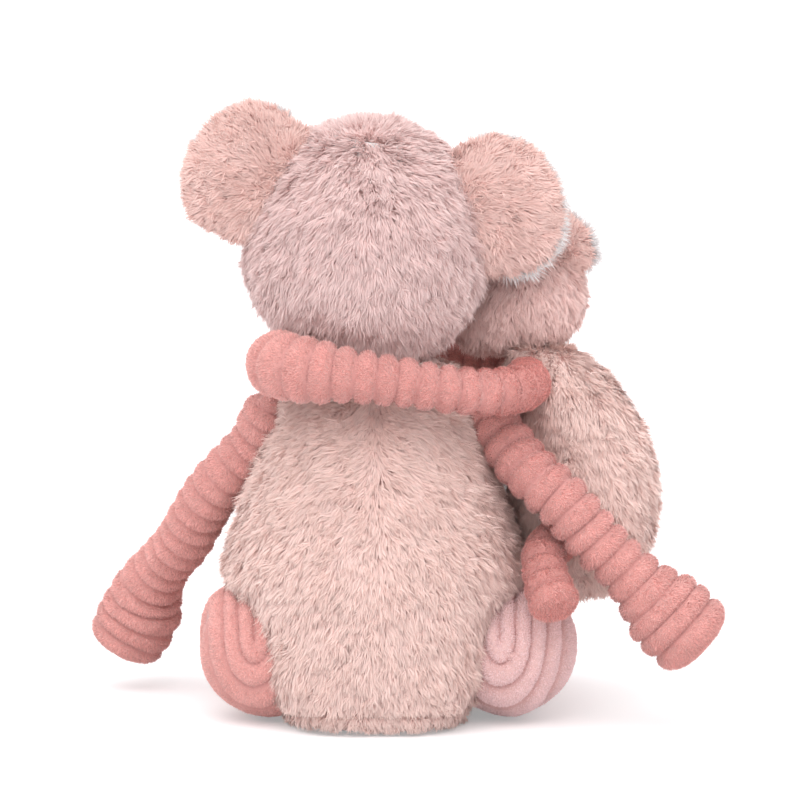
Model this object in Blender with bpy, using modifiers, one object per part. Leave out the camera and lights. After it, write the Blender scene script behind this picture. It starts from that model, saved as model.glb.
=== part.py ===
"""A seated plush koala with its cub, as separate covers, stuffing, ears, eyes and limbs.

Metres, +Z up. The koalas face +Y, so their backs are towards -Y, and -X is their left.
The origin is the middle of the parent's flat base.
"""

import math

import bmesh
import bpy
from mathutils import Matrix, Vector
from mathutils.bvhtree import BVHTree

# Fits and walls
FIT_GAP = 0.0003
STUFFING_GAP = 0.0005
ROOM_GAP = 0.0008
FUR_WALL = 0.005
PLUSH_WALL = 0.0025
FLAT_CUT = 0.0005
OVERRUN = 0.004
WELD = 0.000001

# Rib of the limbs' plush
RIB_PITCH = 0.0106
RIB_DEPTH = 0.0018
CORE_STEP = 0.015

# Parent body, from the base panel's top to the neck plane
PANEL_HEIGHT = 0.010
NECK_HEIGHT = 0.188
BODY_HALF_WIDTH = 0.082
BODY_HALF_DEPTH = 0.067
PELLETS_HEIGHT = 0.024
PELLETS_HALF_WIDTH = 0.019
PELLETS_HALF_DEPTH = 0.040

# Parent head
HEAD_HALF_WIDTH = 0.064
HEAD_HALF_DEPTH = 0.058
HEAD_HALF_HEIGHT = 0.064
HEAD_ROLL = math.radians(8)
HEAD_CENTRE = Vector((-0.004, 0.004, 0.251))
NECK_MOUTH_RADIUS = 0.020

# Ears, parent's size
EAR_HALF_WIDTH = 0.027
EAR_HALF_HEIGHT = 0.038
EAR_THICKNESS = 0.014
EAR_ROOT_RADIUS = 0.0055
EAR_ROOT_LENGTH = 0.040
EAR_LIFT = 0.0029
LEFT_EAR_RISE = 0.0100
RIGHT_EAR_RISE = 0.0070
EAR_REACH = 0.0075
LEFT_EAR_SLOPE = math.radians(11)
RIGHT_EAR_SLOPE = math.radians(15)

# Face, parent's size
EYE_RADIUS = 0.0065
EYE_HALF_THICKNESS = 0.003
EYE_SPREAD = 0.026
EYE_RISE = 0.006
SHANK_RADIUS = 0.002
SHANK_LENGTH = 0.011
WASHER_RADIUS = 0.007
WASHER_THICKNESS = 0.0014
NOSE_HALF_WIDTH = 0.011
NOSE_HALF_HEIGHT = 0.015
NOSE_HALF_DEPTH = 0.005
NOSE_DROP = 0.014
NOSE_LIFT = 0.0018

# Parent arms: the shoulder's place, the ball at the root, and the tube
LEFT_SHOULDER = Vector((-0.056, -0.002, 0.157))
RIGHT_SHOULDER = Vector((0.060, -0.008, 0.155))
ARM_BALL_RADIUS = 0.0150
ARM_RADIUS = 0.0142
LEFT_PAW_RADIUS = 0.0220
RIGHT_PAW_RADIUS = 0.0240
LEFT_ARM_REACH = 0.070
LEFT_ARM_DROP = 0.129
LEFT_ARM_FORE = 0.080
RIGHT_ARM_REACH = 0.101
RIGHT_ARM_DROP = 0.103
RIGHT_ARM_BACK = 0.034

# Parent legs
HIP_RADIUS = 0.0355
HIP_BACK = 0.008
HIP_HEIGHT = 0.0375
LEFT_HIP_SIDE = 0.056
RIGHT_HIP_SIDE = 0.070
LEG_REACH = 0.112
LEG_SPREAD = 0.006
LEFT_TOE_IN = 0.012
LEG_DROP = 0.0080
LEG_RADIUS = 0.026
FOOT_RADIUS = 0.0275

# Cub body
CUB_BASE_HEIGHT = 0.064
CUB_BODY_HEIGHT = 0.128
CUB_HALF_WIDTH = 0.0410
CUB_HALF_DEPTH = 0.034
CUB_SIDE = 0.1070
CUB_FORE = 0.020
CUB_LEAN = 0.022

# Cub head
CUB_HEAD_RADIUS = 0.034
CUB_HEAD_CENTRE = Vector((0.078, 0.045, 0.216))
CUB_HEAD_YAW = math.radians(-15)
CUB_NECK_MOUTH_RADIUS = 0.012
CUB_EAR_HALF_WIDTH = 0.015
CUB_EAR_HALF_HEIGHT = 0.020
CUB_EAR_THICKNESS = 0.010
CUB_EAR_ROOT_RADIUS = 0.004
CUB_EAR_ROOT_LENGTH = 0.020
CUB_EAR_RISE = 0.001
CUB_EAR_LIFT = 0.0015
CUB_EAR_REACH = 0.0020
CUB_EAR_SLOPE = math.radians(47)
CUB_EYE_RADIUS = 0.0045
CUB_EYE_HALF_THICKNESS = 0.0022
CUB_EYE_SPREAD = 0.014
CUB_EYE_RISE = 0.004
CUB_SHANK_RADIUS = 0.0015
CUB_SHANK_LENGTH = 0.009
CUB_WASHER_RADIUS = 0.005
CUB_WASHER_THICKNESS = 0.0012
CUB_NOSE_HALF_WIDTH = 0.0065
CUB_NOSE_HALF_HEIGHT = 0.0085
CUB_NOSE_HALF_DEPTH = 0.0036
CUB_NOSE_DROP = 0.008
CUB_NOSE_LIFT = 0.0012

# Cub arms: the left one goes round the back of the parent's neck, the right one round the front
CUB_LEFT_SHOULDER = Vector((0.078, 0.004, 0.177))
CUB_RIGHT_SHOULDER = Vector((0.084, 0.044, 0.169))
CUB_ARM_BALL_RADIUS = 0.0123
CUB_ARM_RADIUS = 0.0125
CUB_PAW_RADIUS = 0.0180
CUB_ARM_REACH = 0.129
CUB_ARM_SWEEP = 0.058
CUB_ARM_RISE = 0.015
CUB_FRONT_REACH = 0.100
CUB_FRONT_SWEEP = 0.022
CUB_FRONT_RISE = 0.014
CUB_ARM_OPENING = math.radians(50)

# Cub legs
CUB_LEFT_HIP = Vector((0.094, -0.006, 0.094))
CUB_RIGHT_HIP = Vector((0.106, 0.046, 0.085))
CUB_HIP_RADIUS = 0.0120
CUB_LEG_RADIUS = 0.0120
CUB_FOOT_RADIUS = 0.0135
CUB_LEG_SIDE = 0.008
CUB_LEG_REACH = 0.050
CUB_LEG_DROP = 0.022
CUB_FRONT_LEG_REACH = 0.036
CUB_FRONT_LEG_DROP = 0.018

# Counts
BODY_SIDES = 10
TUBE_RESOLUTION = 2
ROOM_RESOLUTION = 3
ROD_SIDES = 12
SPHERE_SEGMENTS = 16
CORE_SEGMENTS = 12
NOSE_SEGMENTS = 12
SOCKET_SEGMENTS = 12
HEAD_SOCKET_SEGMENTS = 24
EAR_SEGMENTS = 14

# Colours and finish
FUR_PINK = (0.757, 0.521, 0.468)
EAR_PINK = (0.715, 0.468, 0.418)
RIB_PINK = (0.686, 0.302, 0.264)
LINING_WHITE = (0.831, 0.784, 0.799)
STUFFING_WHITE = (0.880, 0.880, 0.870)
BAG_CREAM = (0.720, 0.660, 0.560)
EYE_BLACK = (0.012, 0.010, 0.010)
NOSE_BROWN = (0.080, 0.045, 0.045)
WASHER_CLEAR = (0.650, 0.650, 0.640)

# Shapes as shares of the sizes above
BODY_RING_SHARES = (
    (0.0, 0.62, 0.82),
    (0.07, 0.69, 0.93),
    (0.20, 0.76, 0.99),
    (0.30, 0.89, 1.0),
    (0.38, 1.0, 1.0),
    (0.46, 0.94, 0.98),
    (0.56, 0.86, 0.93),
    (0.70, 0.76, 0.82),
    (0.84, 0.67, 0.66),
    (0.94, 0.56, 0.50),
    (1.0, 0.42, 0.36),
)
HEAD_RING_SHARES = (
    (-1.10, 0.46, 0.44),
    (-0.80, 0.76, 0.70),
    (-0.54, 0.95, 0.89),
    (-0.16, 1.0, 0.98),
    (0.18, 0.96, 1.0),
    (0.48, 0.86, 0.92),
    (0.74, 0.69, 0.75),
    (0.91, 0.46, 0.52),
    (1.0, 0.20, 0.24),
)
CUB_BODY_RING_SHARES = (
    (0.0, 0.40, 0.40, -0.10),
    (0.08, 0.74, 0.76, 0.0),
    (0.25, 0.97, 0.97, 0.05),
    (0.46, 1.0, 1.0, 0.03),
    (0.70, 0.90, 0.88, -0.18),
    (0.88, 0.70, 0.67, -0.58),
    (1.0, 0.42, 0.40, -1.0),
)
LEFT_ARM_PATH_SHARES = (
    (0.0, 0.0, 0.0),
    (0.09, 0.08, 0.11),
    (0.32, 0.20, 0.26),
    (0.49, 0.375, 0.41),
    (0.61, 0.55, 0.55),
    (0.76, 0.74, 0.667),
    (0.90, 0.89, 0.783),
    (0.985, 0.975, 0.92),
    (1.0, 1.0, 1.0),
)
RIGHT_ARM_PATH_SHARES = (
    (0.0, 0.0, 0.0),
    (0.07, 0.22, 0.07),
    (0.15, 0.48, 0.16),
    (0.24, 0.68, 0.24),
    (0.37, 0.82, 0.35),
    (0.53, 0.88, 0.53),
    (0.72, 0.92, 0.72),
    (0.88, 0.97, 0.88),
    (1.0, 1.0, 0.99),
)
LEG_PATH_SHARES = (
    (0.0, 0.0, 0.0),
    (0.30, 0.30, 0.42),
    (0.60, 0.55, 0.95),
    (1.0, 1.0, 0.84),
)
CUB_LEFT_ARM_PATH_SHARES = (
    (0.0, 0.0, 0.0),
    (0.0, 0.36, 0.02),
    (0.06, 0.66, 0.05),
    (0.17, 0.88, 0.13),
    (0.31, 0.98, 0.30),
    (0.50, 1.03, 0.58),
    (0.68, 1.05, 0.80),
    (0.84, 1.0, 0.93),
    (0.95, 0.86, 1.0),
    (1.0, 0.66, 1.0),
)
CUB_RIGHT_ARM_PATH_SHARES = (
    (0.0, 0.0, 0.0),
    (0.20, 0.62, 0.20),
    (0.46, 0.98, 0.50),
    (0.74, 1.0, 0.80),
    (1.0, 0.72, 1.0),
)
CUB_LEG_PATH_SHARES = (
    (0.0, 0.0, 0.0),
    (0.80, 0.40, 0.12),
    (0.80, 0.72, 0.52),
    (0.30, 1.0, 1.0),
)
# How the radius runs along a limb, from its tube's radius at 0 to its paw's radius at 1
ARM_SWELL_SHARES = ((0.0, 0.0), (0.40, 0.12), (0.70, 0.06), (0.80, 0.40), (0.90, 1.0), (1.0, 0.92))
CUB_ARM_SWELL_SHARES = ((0.0, 0.0), (0.50, 0.05), (0.72, 0.35), (0.86, 1.0), (1.0, 0.92))
LEG_SWELL_SHARES = ((0.0, 0.0), (0.70, 0.10), (0.90, 1.0), (1.0, 1.0))
LIMB_END_SHARES = ((0.22, 0.88), (0.38, 0.64), (0.46, 0.34))
ROOT_BALL_DEGREES = (24, 48, 72)
LIMB_MOUTH_SHARE = 0.35
CORE_END_SHARE = 0.30
PANEL_FOOT_SHARE = 0.80
EYE_DOME_SHARES = ((0.97, 0.30), (0.75, 0.68), (0.35, 0.94), (-0.20, 0.96), (-0.60, 0.62))
EYE_SEAT_SHARE = 0.25
PELLET_RING_SHARES = ((0.0, 0.78), (0.5, 1.0), (1.0, 0.78))
CUB_NECK_SHARE = 0.78


def clear_scene():
    for item in list(bpy.data.objects):
        bpy.data.objects.remove(item, do_unlink=True)


def new_collection(name):
    collection = bpy.data.collections.new(name)
    bpy.context.scene.collection.children.link(collection)
    return collection


def new_material(name, colour, roughness, metallic=0.0):
    material = bpy.data.materials.new(name)
    material.use_nodes = True
    shader = material.node_tree.nodes["Principled BSDF"]
    shader.inputs["Base Color"].default_value = (*colour, 1.0)
    shader.inputs["Roughness"].default_value = roughness
    shader.inputs["Metallic"].default_value = metallic
    material.diffuse_color = (*colour, 1.0)
    return material


def new_pivot(name, place, parent=None, turn=None):
    """An empty on a joint's axis, or at a head's middle."""
    pivot = bpy.data.objects.new(name, None)
    pivot.empty_display_size = EAR_HALF_WIDTH
    PARTS.objects.link(pivot)
    pivot.parent = parent
    pivot.matrix_basis = Matrix.Translation(place) @ (turn or Matrix.Identity(4))
    bpy.context.view_layer.update()
    return pivot


def new_solid(name, mesh, parent=None, material=None):
    """A sub-part, or a cutter if it has no material."""
    solid = bpy.data.objects.new(name, mesh)
    (PARTS if material else CUTTERS).objects.link(solid)
    solid.parent = parent
    if material:
        mesh.materials.clear()
        mesh.materials.append(MATERIALS[material])
        mesh.shade_smooth()
    else:
        solid.hide_render = True
        solid.display_type = "WIRE"
    bpy.context.view_layer.update()
    return solid


def combine(solid, other, operation="DIFFERENCE"):
    modifier = solid.modifiers.new(other.name[:60], "BOOLEAN")
    modifier.object = other
    modifier.operation = operation
    modifier.solver = "EXACT"


def smooth(solid, levels=1):
    modifier = solid.modifiers.new("soft", "SUBSURF")
    modifier.levels = levels
    modifier.render_levels = levels


def finish_mesh(shape, name):
    mesh = bpy.data.meshes.new(name)
    shape.to_mesh(mesh)
    shape.free()
    return mesh


def soft_mesh(name, rings, smoothed=False):
    """A cage through elliptical rings (centre, half width, half depth), bottom to top."""
    step = math.tau / BODY_SIDES
    swell = 4 / (3 + math.cos(step)) if smoothed else 1
    cage = bmesh.new()
    crease = cage.edges.layers.float.new("crease_edge")
    loops = []
    for centre, half_width, half_depth in rings:
        loop = []
        for k in range(BODY_SIDES):
            across = swell * half_width * math.cos(k * step)
            along = swell * half_depth * math.sin(k * step)
            loop.append(cage.verts.new(centre + Vector((across, along, 0))))
        loops.append(loop)
    for lower, upper in zip(loops, loops[1:]):
        for k in range(BODY_SIDES):
            after = (k + 1) % BODY_SIDES
            cage.faces.new((lower[k], lower[after], upper[after], upper[k]))
    for cap in (cage.faces.new(loops[0][::-1]), cage.faces.new(loops[-1])):
        for edge in cap.edges:
            edge[crease] = 1
    if not smoothed:
        bmesh.ops.triangulate(cage, faces=cage.faces[:], quad_method="FIXED")
    return finish_mesh(cage, name)


def ball_mesh(name, radii, gap=0, segments=SPHERE_SEGMENTS):
    """An ellipsoid; with a gap, its facets stay outside the ellipsoid grown by that gap."""
    ball = bmesh.new()
    rings = segments // 2
    bmesh.ops.create_uvsphere(ball, u_segments=segments, v_segments=rings, radius=1)
    outside = 1
    if gap:
        outside = 1 / (math.cos(math.pi / segments) * math.cos(math.pi / (2 * rings)))
    sizes = [(radius + gap) * outside for radius in radii]
    bmesh.ops.transform(ball, matrix=Matrix.Diagonal((*sizes, 1)), verts=ball.verts)
    return finish_mesh(ball, name)


def rod_mesh(name, radius, start, end, sides=ROD_SIDES):
    """A round bar between two points."""
    axis = end - start
    rod = bmesh.new()
    bmesh.ops.create_cone(
        rod, cap_ends=True, segments=sides, radius1=radius, radius2=radius, depth=axis.length
    )
    turn = Vector((0, 0, 1)).rotation_difference(axis).to_matrix().to_4x4()
    place = Matrix.Translation((start + end) / 2)
    bmesh.ops.transform(rod, matrix=place @ turn, verts=rod.verts)
    return finish_mesh(rod, name)


def box_mesh(name, low, high):
    box = bmesh.new()
    bmesh.ops.create_cube(box, size=1)
    bmesh.ops.transform(box, matrix=Matrix.Diagonal((*(high - low), 1)), verts=box.verts)
    bmesh.ops.translate(box, vec=(low + high) / 2, verts=box.verts)
    return finish_mesh(box, name)


def tube_mesh(name, stations, resolution):
    """A round tube with its own radius at each station, its caps welded."""
    widest = max(radius for _, radius in stations)
    curve = bpy.data.curves.new(name, "CURVE")
    curve.dimensions = "3D"
    curve.bevel_depth = widest
    curve.bevel_resolution = resolution
    curve.use_fill_caps = True
    spline = curve.splines.new("POLY")
    spline.points.add(len(stations) - 1)
    for point, (place, radius) in zip(spline.points, stations):
        point.co = (*place, 1)
        point.radius = radius / widest
    guide = bpy.data.objects.new(name, curve)
    PARTS.objects.link(guide)
    bpy.context.view_layer.update()
    seen = guide.evaluated_get(bpy.context.evaluated_depsgraph_get())
    mesh = bpy.data.meshes.new_from_object(seen)
    bpy.data.objects.remove(guide, do_unlink=True)
    bpy.data.curves.remove(curve)
    shape = bmesh.new()
    shape.from_mesh(mesh)
    bmesh.ops.remove_doubles(shape, verts=shape.verts, dist=WELD)
    bmesh.ops.recalc_face_normals(shape, faces=shape.faces)
    shape.to_mesh(mesh)
    shape.free()
    return mesh


def read_table(table, share):
    """The values at a share along a table whose rows start with their share."""
    for row_a, row_b in zip(table, table[1:]):
        if share <= row_b[0]:
            mix = max(0, share - row_a[0]) / (row_b[0] - row_a[0])
            return [a + mix * (b - a) for a, b in zip(row_a[1:], row_b[1:])]
    return table[-1][1:]


def surface_point(solid, start, direction):
    """The last point of a solid's outside on the ray from a world point."""
    seen = solid.evaluated_get(bpy.context.evaluated_depsgraph_get())
    tree = BVHTree.FromObject(solid, bpy.context.evaluated_depsgraph_get())
    back = seen.matrix_world.inverted()
    far = start + direction * HEAD_HALF_WIDTH * 3
    place, _, _, _ = tree.ray_cast(back @ far, -(back.to_3x3() @ direction).normalized())
    return seen.matrix_world @ place


class SoftShape:
    """A stuffed form whose rings are shares of its height, half width and half depth."""

    def __init__(self, table, base, height, half_width, half_depth, lean=0):
        self.table = table
        self.base = base
        self.height = height
        self.half_width = half_width
        self.half_depth = half_depth
        self.lean = lean

    def ring(self, share, inset):
        width_share, depth_share, lean_share = (*read_table(self.table, share), 0)[:3]
        centre = self.base + Vector((self.lean * lean_share, 0, self.height * share))
        half_width = self.half_width * width_share - inset
        return centre, half_width, self.half_depth * depth_share - inset

    def inward(self, place):
        """The level direction from a place on the form to its middle line."""
        middle, _, _ = self.ring((place.z - self.base.z) / self.height, 0)
        return Vector((middle.x - place.x, middle.y - place.y, 0)).normalized()

    def outer_rings(self, grow=0):
        return [self.ring(row[0], -grow) for row in self.table]

    def inner_rings(self, inset, low, high, count, gap=0):
        """Rings of the form drawn in by an inset, and by a gap all round."""
        levels = [low + (high - low) * k / count for k in range(count + 1)]
        rings = [self.ring(level / self.height, inset + gap) for level in levels]
        rings[0][0].z += gap
        rings[-1][0].z -= gap
        return rings


class SmoothPath:
    """A smooth line through corner points, read by the distance along it."""

    SAMPLES = 12

    def __init__(self, corners):
        ends = [2 * corners[0] - corners[1], *corners, 2 * corners[-1] - corners[-2]]
        self.points = [corners[0]]
        for a, b, c, d in zip(ends, ends[1:], ends[2:], ends[3:]):
            for k in range(1, self.SAMPLES + 1):
                t = k / self.SAMPLES
                point = b + (c - a) * t / 2 + (a - 2.5 * b + 2 * c - 0.5 * d) * t**2
                self.points.append(point + (1.5 * b - 0.5 * a - 1.5 * c + 0.5 * d) * t**3)
        self.runs = [0]
        for a, b in zip(self.points, self.points[1:]):
            self.runs.append(self.runs[-1] + (b - a).length)
        self.length = self.runs[-1]
        self.start = (self.points[1] - self.points[0]).normalized()
        self.end = (self.points[-1] - self.points[-2]).normalized()

    def at(self, run):
        for k in range(1, len(self.runs)):
            if run <= self.runs[k]:
                mix = (run - self.runs[k - 1]) / (self.runs[k] - self.runs[k - 1])
                return self.points[k - 1].lerp(self.points[k], mix)
        return self.points[-1].copy()


class Limb:
    """A sewn limb in its root's frame: a ball root at the origin, a ribbed tube, a rounded end."""

    def __init__(self, path_shares, reach, swell_shares, ball_radius, tube_radius, paw_radius):
        corners = [Vector([share * size for share, size in zip(row, reach)]) for row in path_shares]
        self.path = SmoothPath(corners)
        self.swell_shares = swell_shares
        self.ball_radius = ball_radius
        self.tube_radius = tube_radius
        self.paw_radius = paw_radius

    def radius_at(self, run):
        (paw_share,) = read_table(self.swell_shares, run / self.path.length)
        tube = self.tube_radius + paw_share * (self.paw_radius - self.tube_radius)
        ball = math.sqrt(max(0, self.ball_radius**2 - run**2))
        return max(tube, ball)

    def ball_station(self, angle, inset):
        radius = self.ball_radius - inset
        return -self.path.start * radius * math.cos(angle), radius * math.sin(angle)

    def root_stations(self, ribbed):
        if not ribbed:
            return [self.ball_station(math.radians(degrees), 0) for degrees in ROOT_BALL_DEGREES]
        count = 2 * round(self.ball_radius * math.pi / 2 / RIB_PITCH)
        stations = []
        for k in range(1, count):
            place, radius = self.ball_station(math.pi / 2 * k / count, 0)
            stations.append((place, radius - RIB_DEPTH * ((k + 1) % 2)))
        return stations

    def outer_stations(self, ribbed_root):
        stations = self.root_stations(ribbed_root)
        count = 2 * round(self.path.length / RIB_PITCH)
        for k in range(count + 1):
            run = self.path.length * k / count
            stations.append((self.path.at(run), self.radius_at(run) - RIB_DEPTH * ((k + 1) % 2)))
        last = self.radius_at(self.path.length)
        for forward_share, radius_share in LIMB_END_SHARES:
            place = self.path.points[-1] + self.path.end * last * forward_share
            stations.append((place, last * radius_share))
        return stations

    def plain_stations(self, inset):
        """The limb without its ribs, drawn in by an inset."""
        stations = [self.ball_station(math.radians(d), inset) for d in ROOT_BALL_DEGREES[::2]]
        count = math.ceil(self.path.length / CORE_STEP)
        for k in range(1, count + 1):
            run = self.path.length * k / count
            stations.append((self.path.at(run), self.radius_at(run) - inset))
        place, radius = stations[-1]
        stations.append((place + self.path.end * radius * CORE_END_SHARE, radius / 2))
        return stations


def make_limb(name, limb, pivot, inward, ribbed_root=False):
    """A limb's cover, open at its root, and the stuffing inside it."""
    outer = tube_mesh(f"{name}_cover", limb.outer_stations(ribbed_root), TUBE_RESOLUTION)
    cover = new_solid(f"{name}_cover", outer, pivot, "rib")
    wall = PLUSH_WALL + RIB_DEPTH
    cavity = tube_mesh(f"{name}_cavity", limb.plain_stations(wall), TUBE_RESOLUTION)
    combine(cover, new_solid(f"{name}_cavity", cavity, pivot))
    outside = inward * (limb.ball_radius + OVERRUN)
    mouth = rod_mesh(f"{name}_mouth", limb.ball_radius * LIMB_MOUTH_SHARE, Vector(), outside)
    combine(cover, new_solid(f"{name}_mouth", mouth, pivot))
    core = tube_mesh(f"{name}_stuffing", limb.plain_stations(wall + STUFFING_GAP), TUBE_RESOLUTION)
    new_solid(f"{name}_stuffing", core, pivot, "stuffing")


def cut_socket(solid, name, place, radius, grow=0):
    """Cuts the round seat of a ball of this radius, its middle at a world place."""
    segments = SOCKET_SEGMENTS
    if radius >= HIP_RADIUS:
        segments = SPHERE_SEGMENTS if radius == HIP_RADIUS else HEAD_SOCKET_SEGMENTS
    cutter = new_solid(name, ball_mesh(name, (radius + grow,) * 3, FIT_GAP, segments))
    cutter.location = place
    bpy.context.view_layer.update()
    combine(solid, cutter)


def cut_limb_room(solid, name, limb, place, grow=0, opening=0):
    """Cuts the room of a limb at rest or turned open about +Z, its root at a world place."""
    sides = 2 * ROOM_RESOLUTION + 4
    stations = [
        (spot, (radius + ROOM_GAP + grow) / math.cos(math.pi / sides))
        for spot, radius in limb.plain_stations(0)
    ]
    cutter = new_solid(name, tube_mesh(name, stations, ROOM_RESOLUTION))
    cutter.location = place
    cutter.rotation_euler.z = opening
    bpy.context.view_layer.update()
    combine(solid, cutter)


def cut_seats(solid, part_name, seats, grow=0):
    """Cuts each limb's round seat out of a solid, and the limb's room where it lies that deep."""
    for name, place, limb in seats:
        cut_socket(solid, f"{name}_{part_name}_seat", place, limb.ball_radius, grow)
        if limb.ball_radius > limb.tube_radius or not grow:
            cut_limb_room(solid, f"{name}_{part_name}_room", limb, place, grow)


def make_base(shape, seats):
    """The base panel, cut flat where the koala sits."""
    _, half_width, half_depth = shape.ring(0, 0)
    rings = [
        (Vector((0, 0, -FLAT_CUT)), half_width * PANEL_FOOT_SHARE, half_depth * PANEL_FOOT_SHARE),
        (Vector((0, 0, PANEL_HEIGHT / 3)), half_width, half_depth),
        (Vector((0, 0, PANEL_HEIGHT)), half_width, half_depth),
    ]
    panel = new_solid("base_panel", soft_mesh("base_panel", rings, True), None, "fur")
    smooth(panel)
    low = Vector((-BODY_HALF_WIDTH, -BODY_HALF_DEPTH, -OVERRUN))
    high = Vector((BODY_HALF_WIDTH, BODY_HALF_DEPTH, 0))
    combine(panel, new_solid("table_cut", box_mesh("table_cut", low, high)))
    for name, place, limb in seats:
        cut_socket(panel, f"{name}_panel_cut", place, limb.ball_radius)


def make_pellet_bag(shape):
    low = PANEL_HEIGHT + FIT_GAP
    rings = []
    for height_share, width_share in PELLET_RING_SHARES:
        centre = Vector((0, 0, low + PELLETS_HEIGHT * height_share))
        half_width = PELLETS_HALF_WIDTH * width_share
        rings.append((centre, half_width, PELLETS_HALF_DEPTH * width_share))
    bag = new_solid("pellet_bag", soft_mesh("pellet_bag", rings, True), None, "bag")
    smooth(bag)


def make_body(shape, seats):
    """The body's cover, open below for the pellet bag, and its stuffing."""
    cover = new_solid("body_cover", soft_mesh("body_cover", shape.outer_rings(), True), None, "fur")
    smooth(cover)
    bag_top = PELLETS_HEIGHT + FIT_GAP
    top = shape.height - FUR_WALL
    hollow = soft_mesh("body_cavity", shape.inner_rings(FUR_WALL, bag_top, top, 5))
    cavity = new_solid("body_cavity", hollow)
    packed = shape.inner_rings(FUR_WALL, bag_top, top, 5, STUFFING_GAP)
    stuffing = new_solid("body_stuffing", soft_mesh("body_stuffing", packed), None, "stuffing")
    cut_seats(cavity, "inner", seats, FUR_WALL)
    cut_seats(stuffing, "stuffing", seats, FUR_WALL + STUFFING_GAP)
    combine(cover, cavity)
    half_width = PELLETS_HALF_WIDTH + 2 * FIT_GAP
    half_depth = PELLETS_HALF_DEPTH + 2 * FIT_GAP
    mouth_rings = [
        (shape.base - Vector((0, 0, OVERRUN)), half_width, half_depth),
        (shape.base + Vector((0, 0, bag_top + FUR_WALL)), half_width, half_depth),
    ]
    combine(cover, new_solid("base_mouth", soft_mesh("base_mouth", mouth_rings)))
    cut_seats(cover, "outer", seats)


def turned_mesh(name, profile):
    """A turned solid from (height, radius) pairs, top to bottom."""
    return tube_mesh(name, [(Vector((0, 0, height)), radius) for height, radius in profile], 4)


def eye_profile(sizes):
    """A domed eye and its shank, top to bottom, in a frame whose +Z looks out of the face."""
    radius, depth = sizes["eye_radius"], sizes["eye_half_thickness"]
    dome = [(depth * height, radius * width) for height, width in EYE_DOME_SHARES]
    shank = sizes["shank_radius"]
    return dome + [(-depth, shank), (-depth - sizes["shank_length"], shank)]


def eye_seat_profile(sizes):
    """The eye's dimple, its shank's hole and the washer's room, top to bottom."""
    radius, depth = sizes["eye_radius"] + FIT_GAP, sizes["eye_half_thickness"]
    hole = sizes["shank_radius"] + FIT_GAP
    room = sizes["washer_radius"] + FIT_GAP
    room_top = 2 * FIT_GAP - FUR_WALL
    return [
        (2 * depth, radius),
        (-depth * EYE_SEAT_SHARE, radius),
        (-depth - FIT_GAP, hole),
        (room_top + FIT_GAP, hole),
        (room_top, room),
        (-depth - sizes["shank_length"] - FIT_GAP, room),
    ]


def make_washer(name, pivot, sizes):
    """The locking washer on the eye's shank, against the cover's inside."""
    outer = Vector((0, 0, -FUR_WALL))
    inner = outer - Vector((0, 0, sizes["washer_thickness"]))
    ring = rod_mesh(name, sizes["washer_radius"], inner, outer)
    washer = new_solid(name, ring, pivot, "washer")
    end = Vector((0, 0, OVERRUN))
    bore = rod_mesh(f"{name}_bore", sizes["shank_radius"] + FIT_GAP, inner - end, outer + end)
    combine(washer, new_solid(f"{name}_bore", bore, pivot))


def make_face(prefix, head, cover, stuffing, sizes):
    """Eyes, washers and a nose on the side that looks along the head's own +Y."""
    place = head.matrix_world
    facing = (place.to_3x3() @ Vector((0, 1, 0))).normalized()
    turn = facing.to_track_quat("Z", "Y").to_matrix().to_4x4()
    for side, sign in (("left", -1), ("right", 1)):
        start = place @ Vector((sign * sizes["eye_spread"], 0, sizes["eye_rise"]))
        name = f"{prefix}{side}_eye"
        pivot = new_pivot(f"{name}_place", surface_point(cover, start, facing), None, turn)
        new_solid(name, turned_mesh(name, eye_profile(sizes)), pivot, "eye")
        make_washer(f"{name}_washer", pivot, sizes)
        seat = new_solid(f"{name}_seat", turned_mesh(f"{name}_seat", eye_seat_profile(sizes)), pivot)
        combine(cover, seat)
        combine(stuffing, seat)
    start = place @ Vector((0, 0, -sizes["nose_drop"]))
    spot = surface_point(cover, start, facing) + facing * sizes["nose_lift"]
    name = f"{prefix}nose"
    pivot = new_pivot(f"{name}_place", spot, None, turn)
    radii = (sizes["nose_half_width"], sizes["nose_half_height"], sizes["nose_half_depth"])
    new_solid(name, ball_mesh(name, radii, segments=NOSE_SEGMENTS), pivot, "nose")
    seat = ball_mesh(f"{name}_seat", radii, FIT_GAP, NOSE_SEGMENTS)
    combine(cover, new_solid(f"{name}_seat", seat, pivot))


def cut_half(shape, point, normal):
    """Removes what lies beyond a plane and closes the cut."""
    geometry = shape.verts[:] + shape.edges[:] + shape.faces[:]
    cut = bmesh.ops.bisect_plane(
        shape, geom=geometry, plane_co=point, plane_no=normal, clear_outer=True
    )
    edges = [item for item in cut["geom_cut"] if isinstance(item, bmesh.types.BMEdge)]
    bmesh.ops.edgeloop_fill(shape, edges=edges)


def ear_half(name, radii, reach, keep_front, root_plane):
    """Half of a lens, front or back, cut off at its root."""
    lens = bmesh.new()
    bmesh.ops.create_uvsphere(lens, u_segments=EAR_SEGMENTS, v_segments=EAR_SEGMENTS // 2, radius=1)
    bmesh.ops.transform(lens, matrix=Matrix.Diagonal((*radii, 1)), verts=lens.verts)
    bmesh.ops.translate(lens, vec=Vector((reach, 0, 0)), verts=lens.verts)
    sign = 1 if keep_front else -1
    cut_half(lens, Vector((0, sign * FIT_GAP / 2, 0)), Vector((0, -sign, 0)))
    cut_half(lens, Vector((root_plane, 0, 0)), Vector((-1, 0, 0)))
    return finish_mesh(lens, name)


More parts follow.
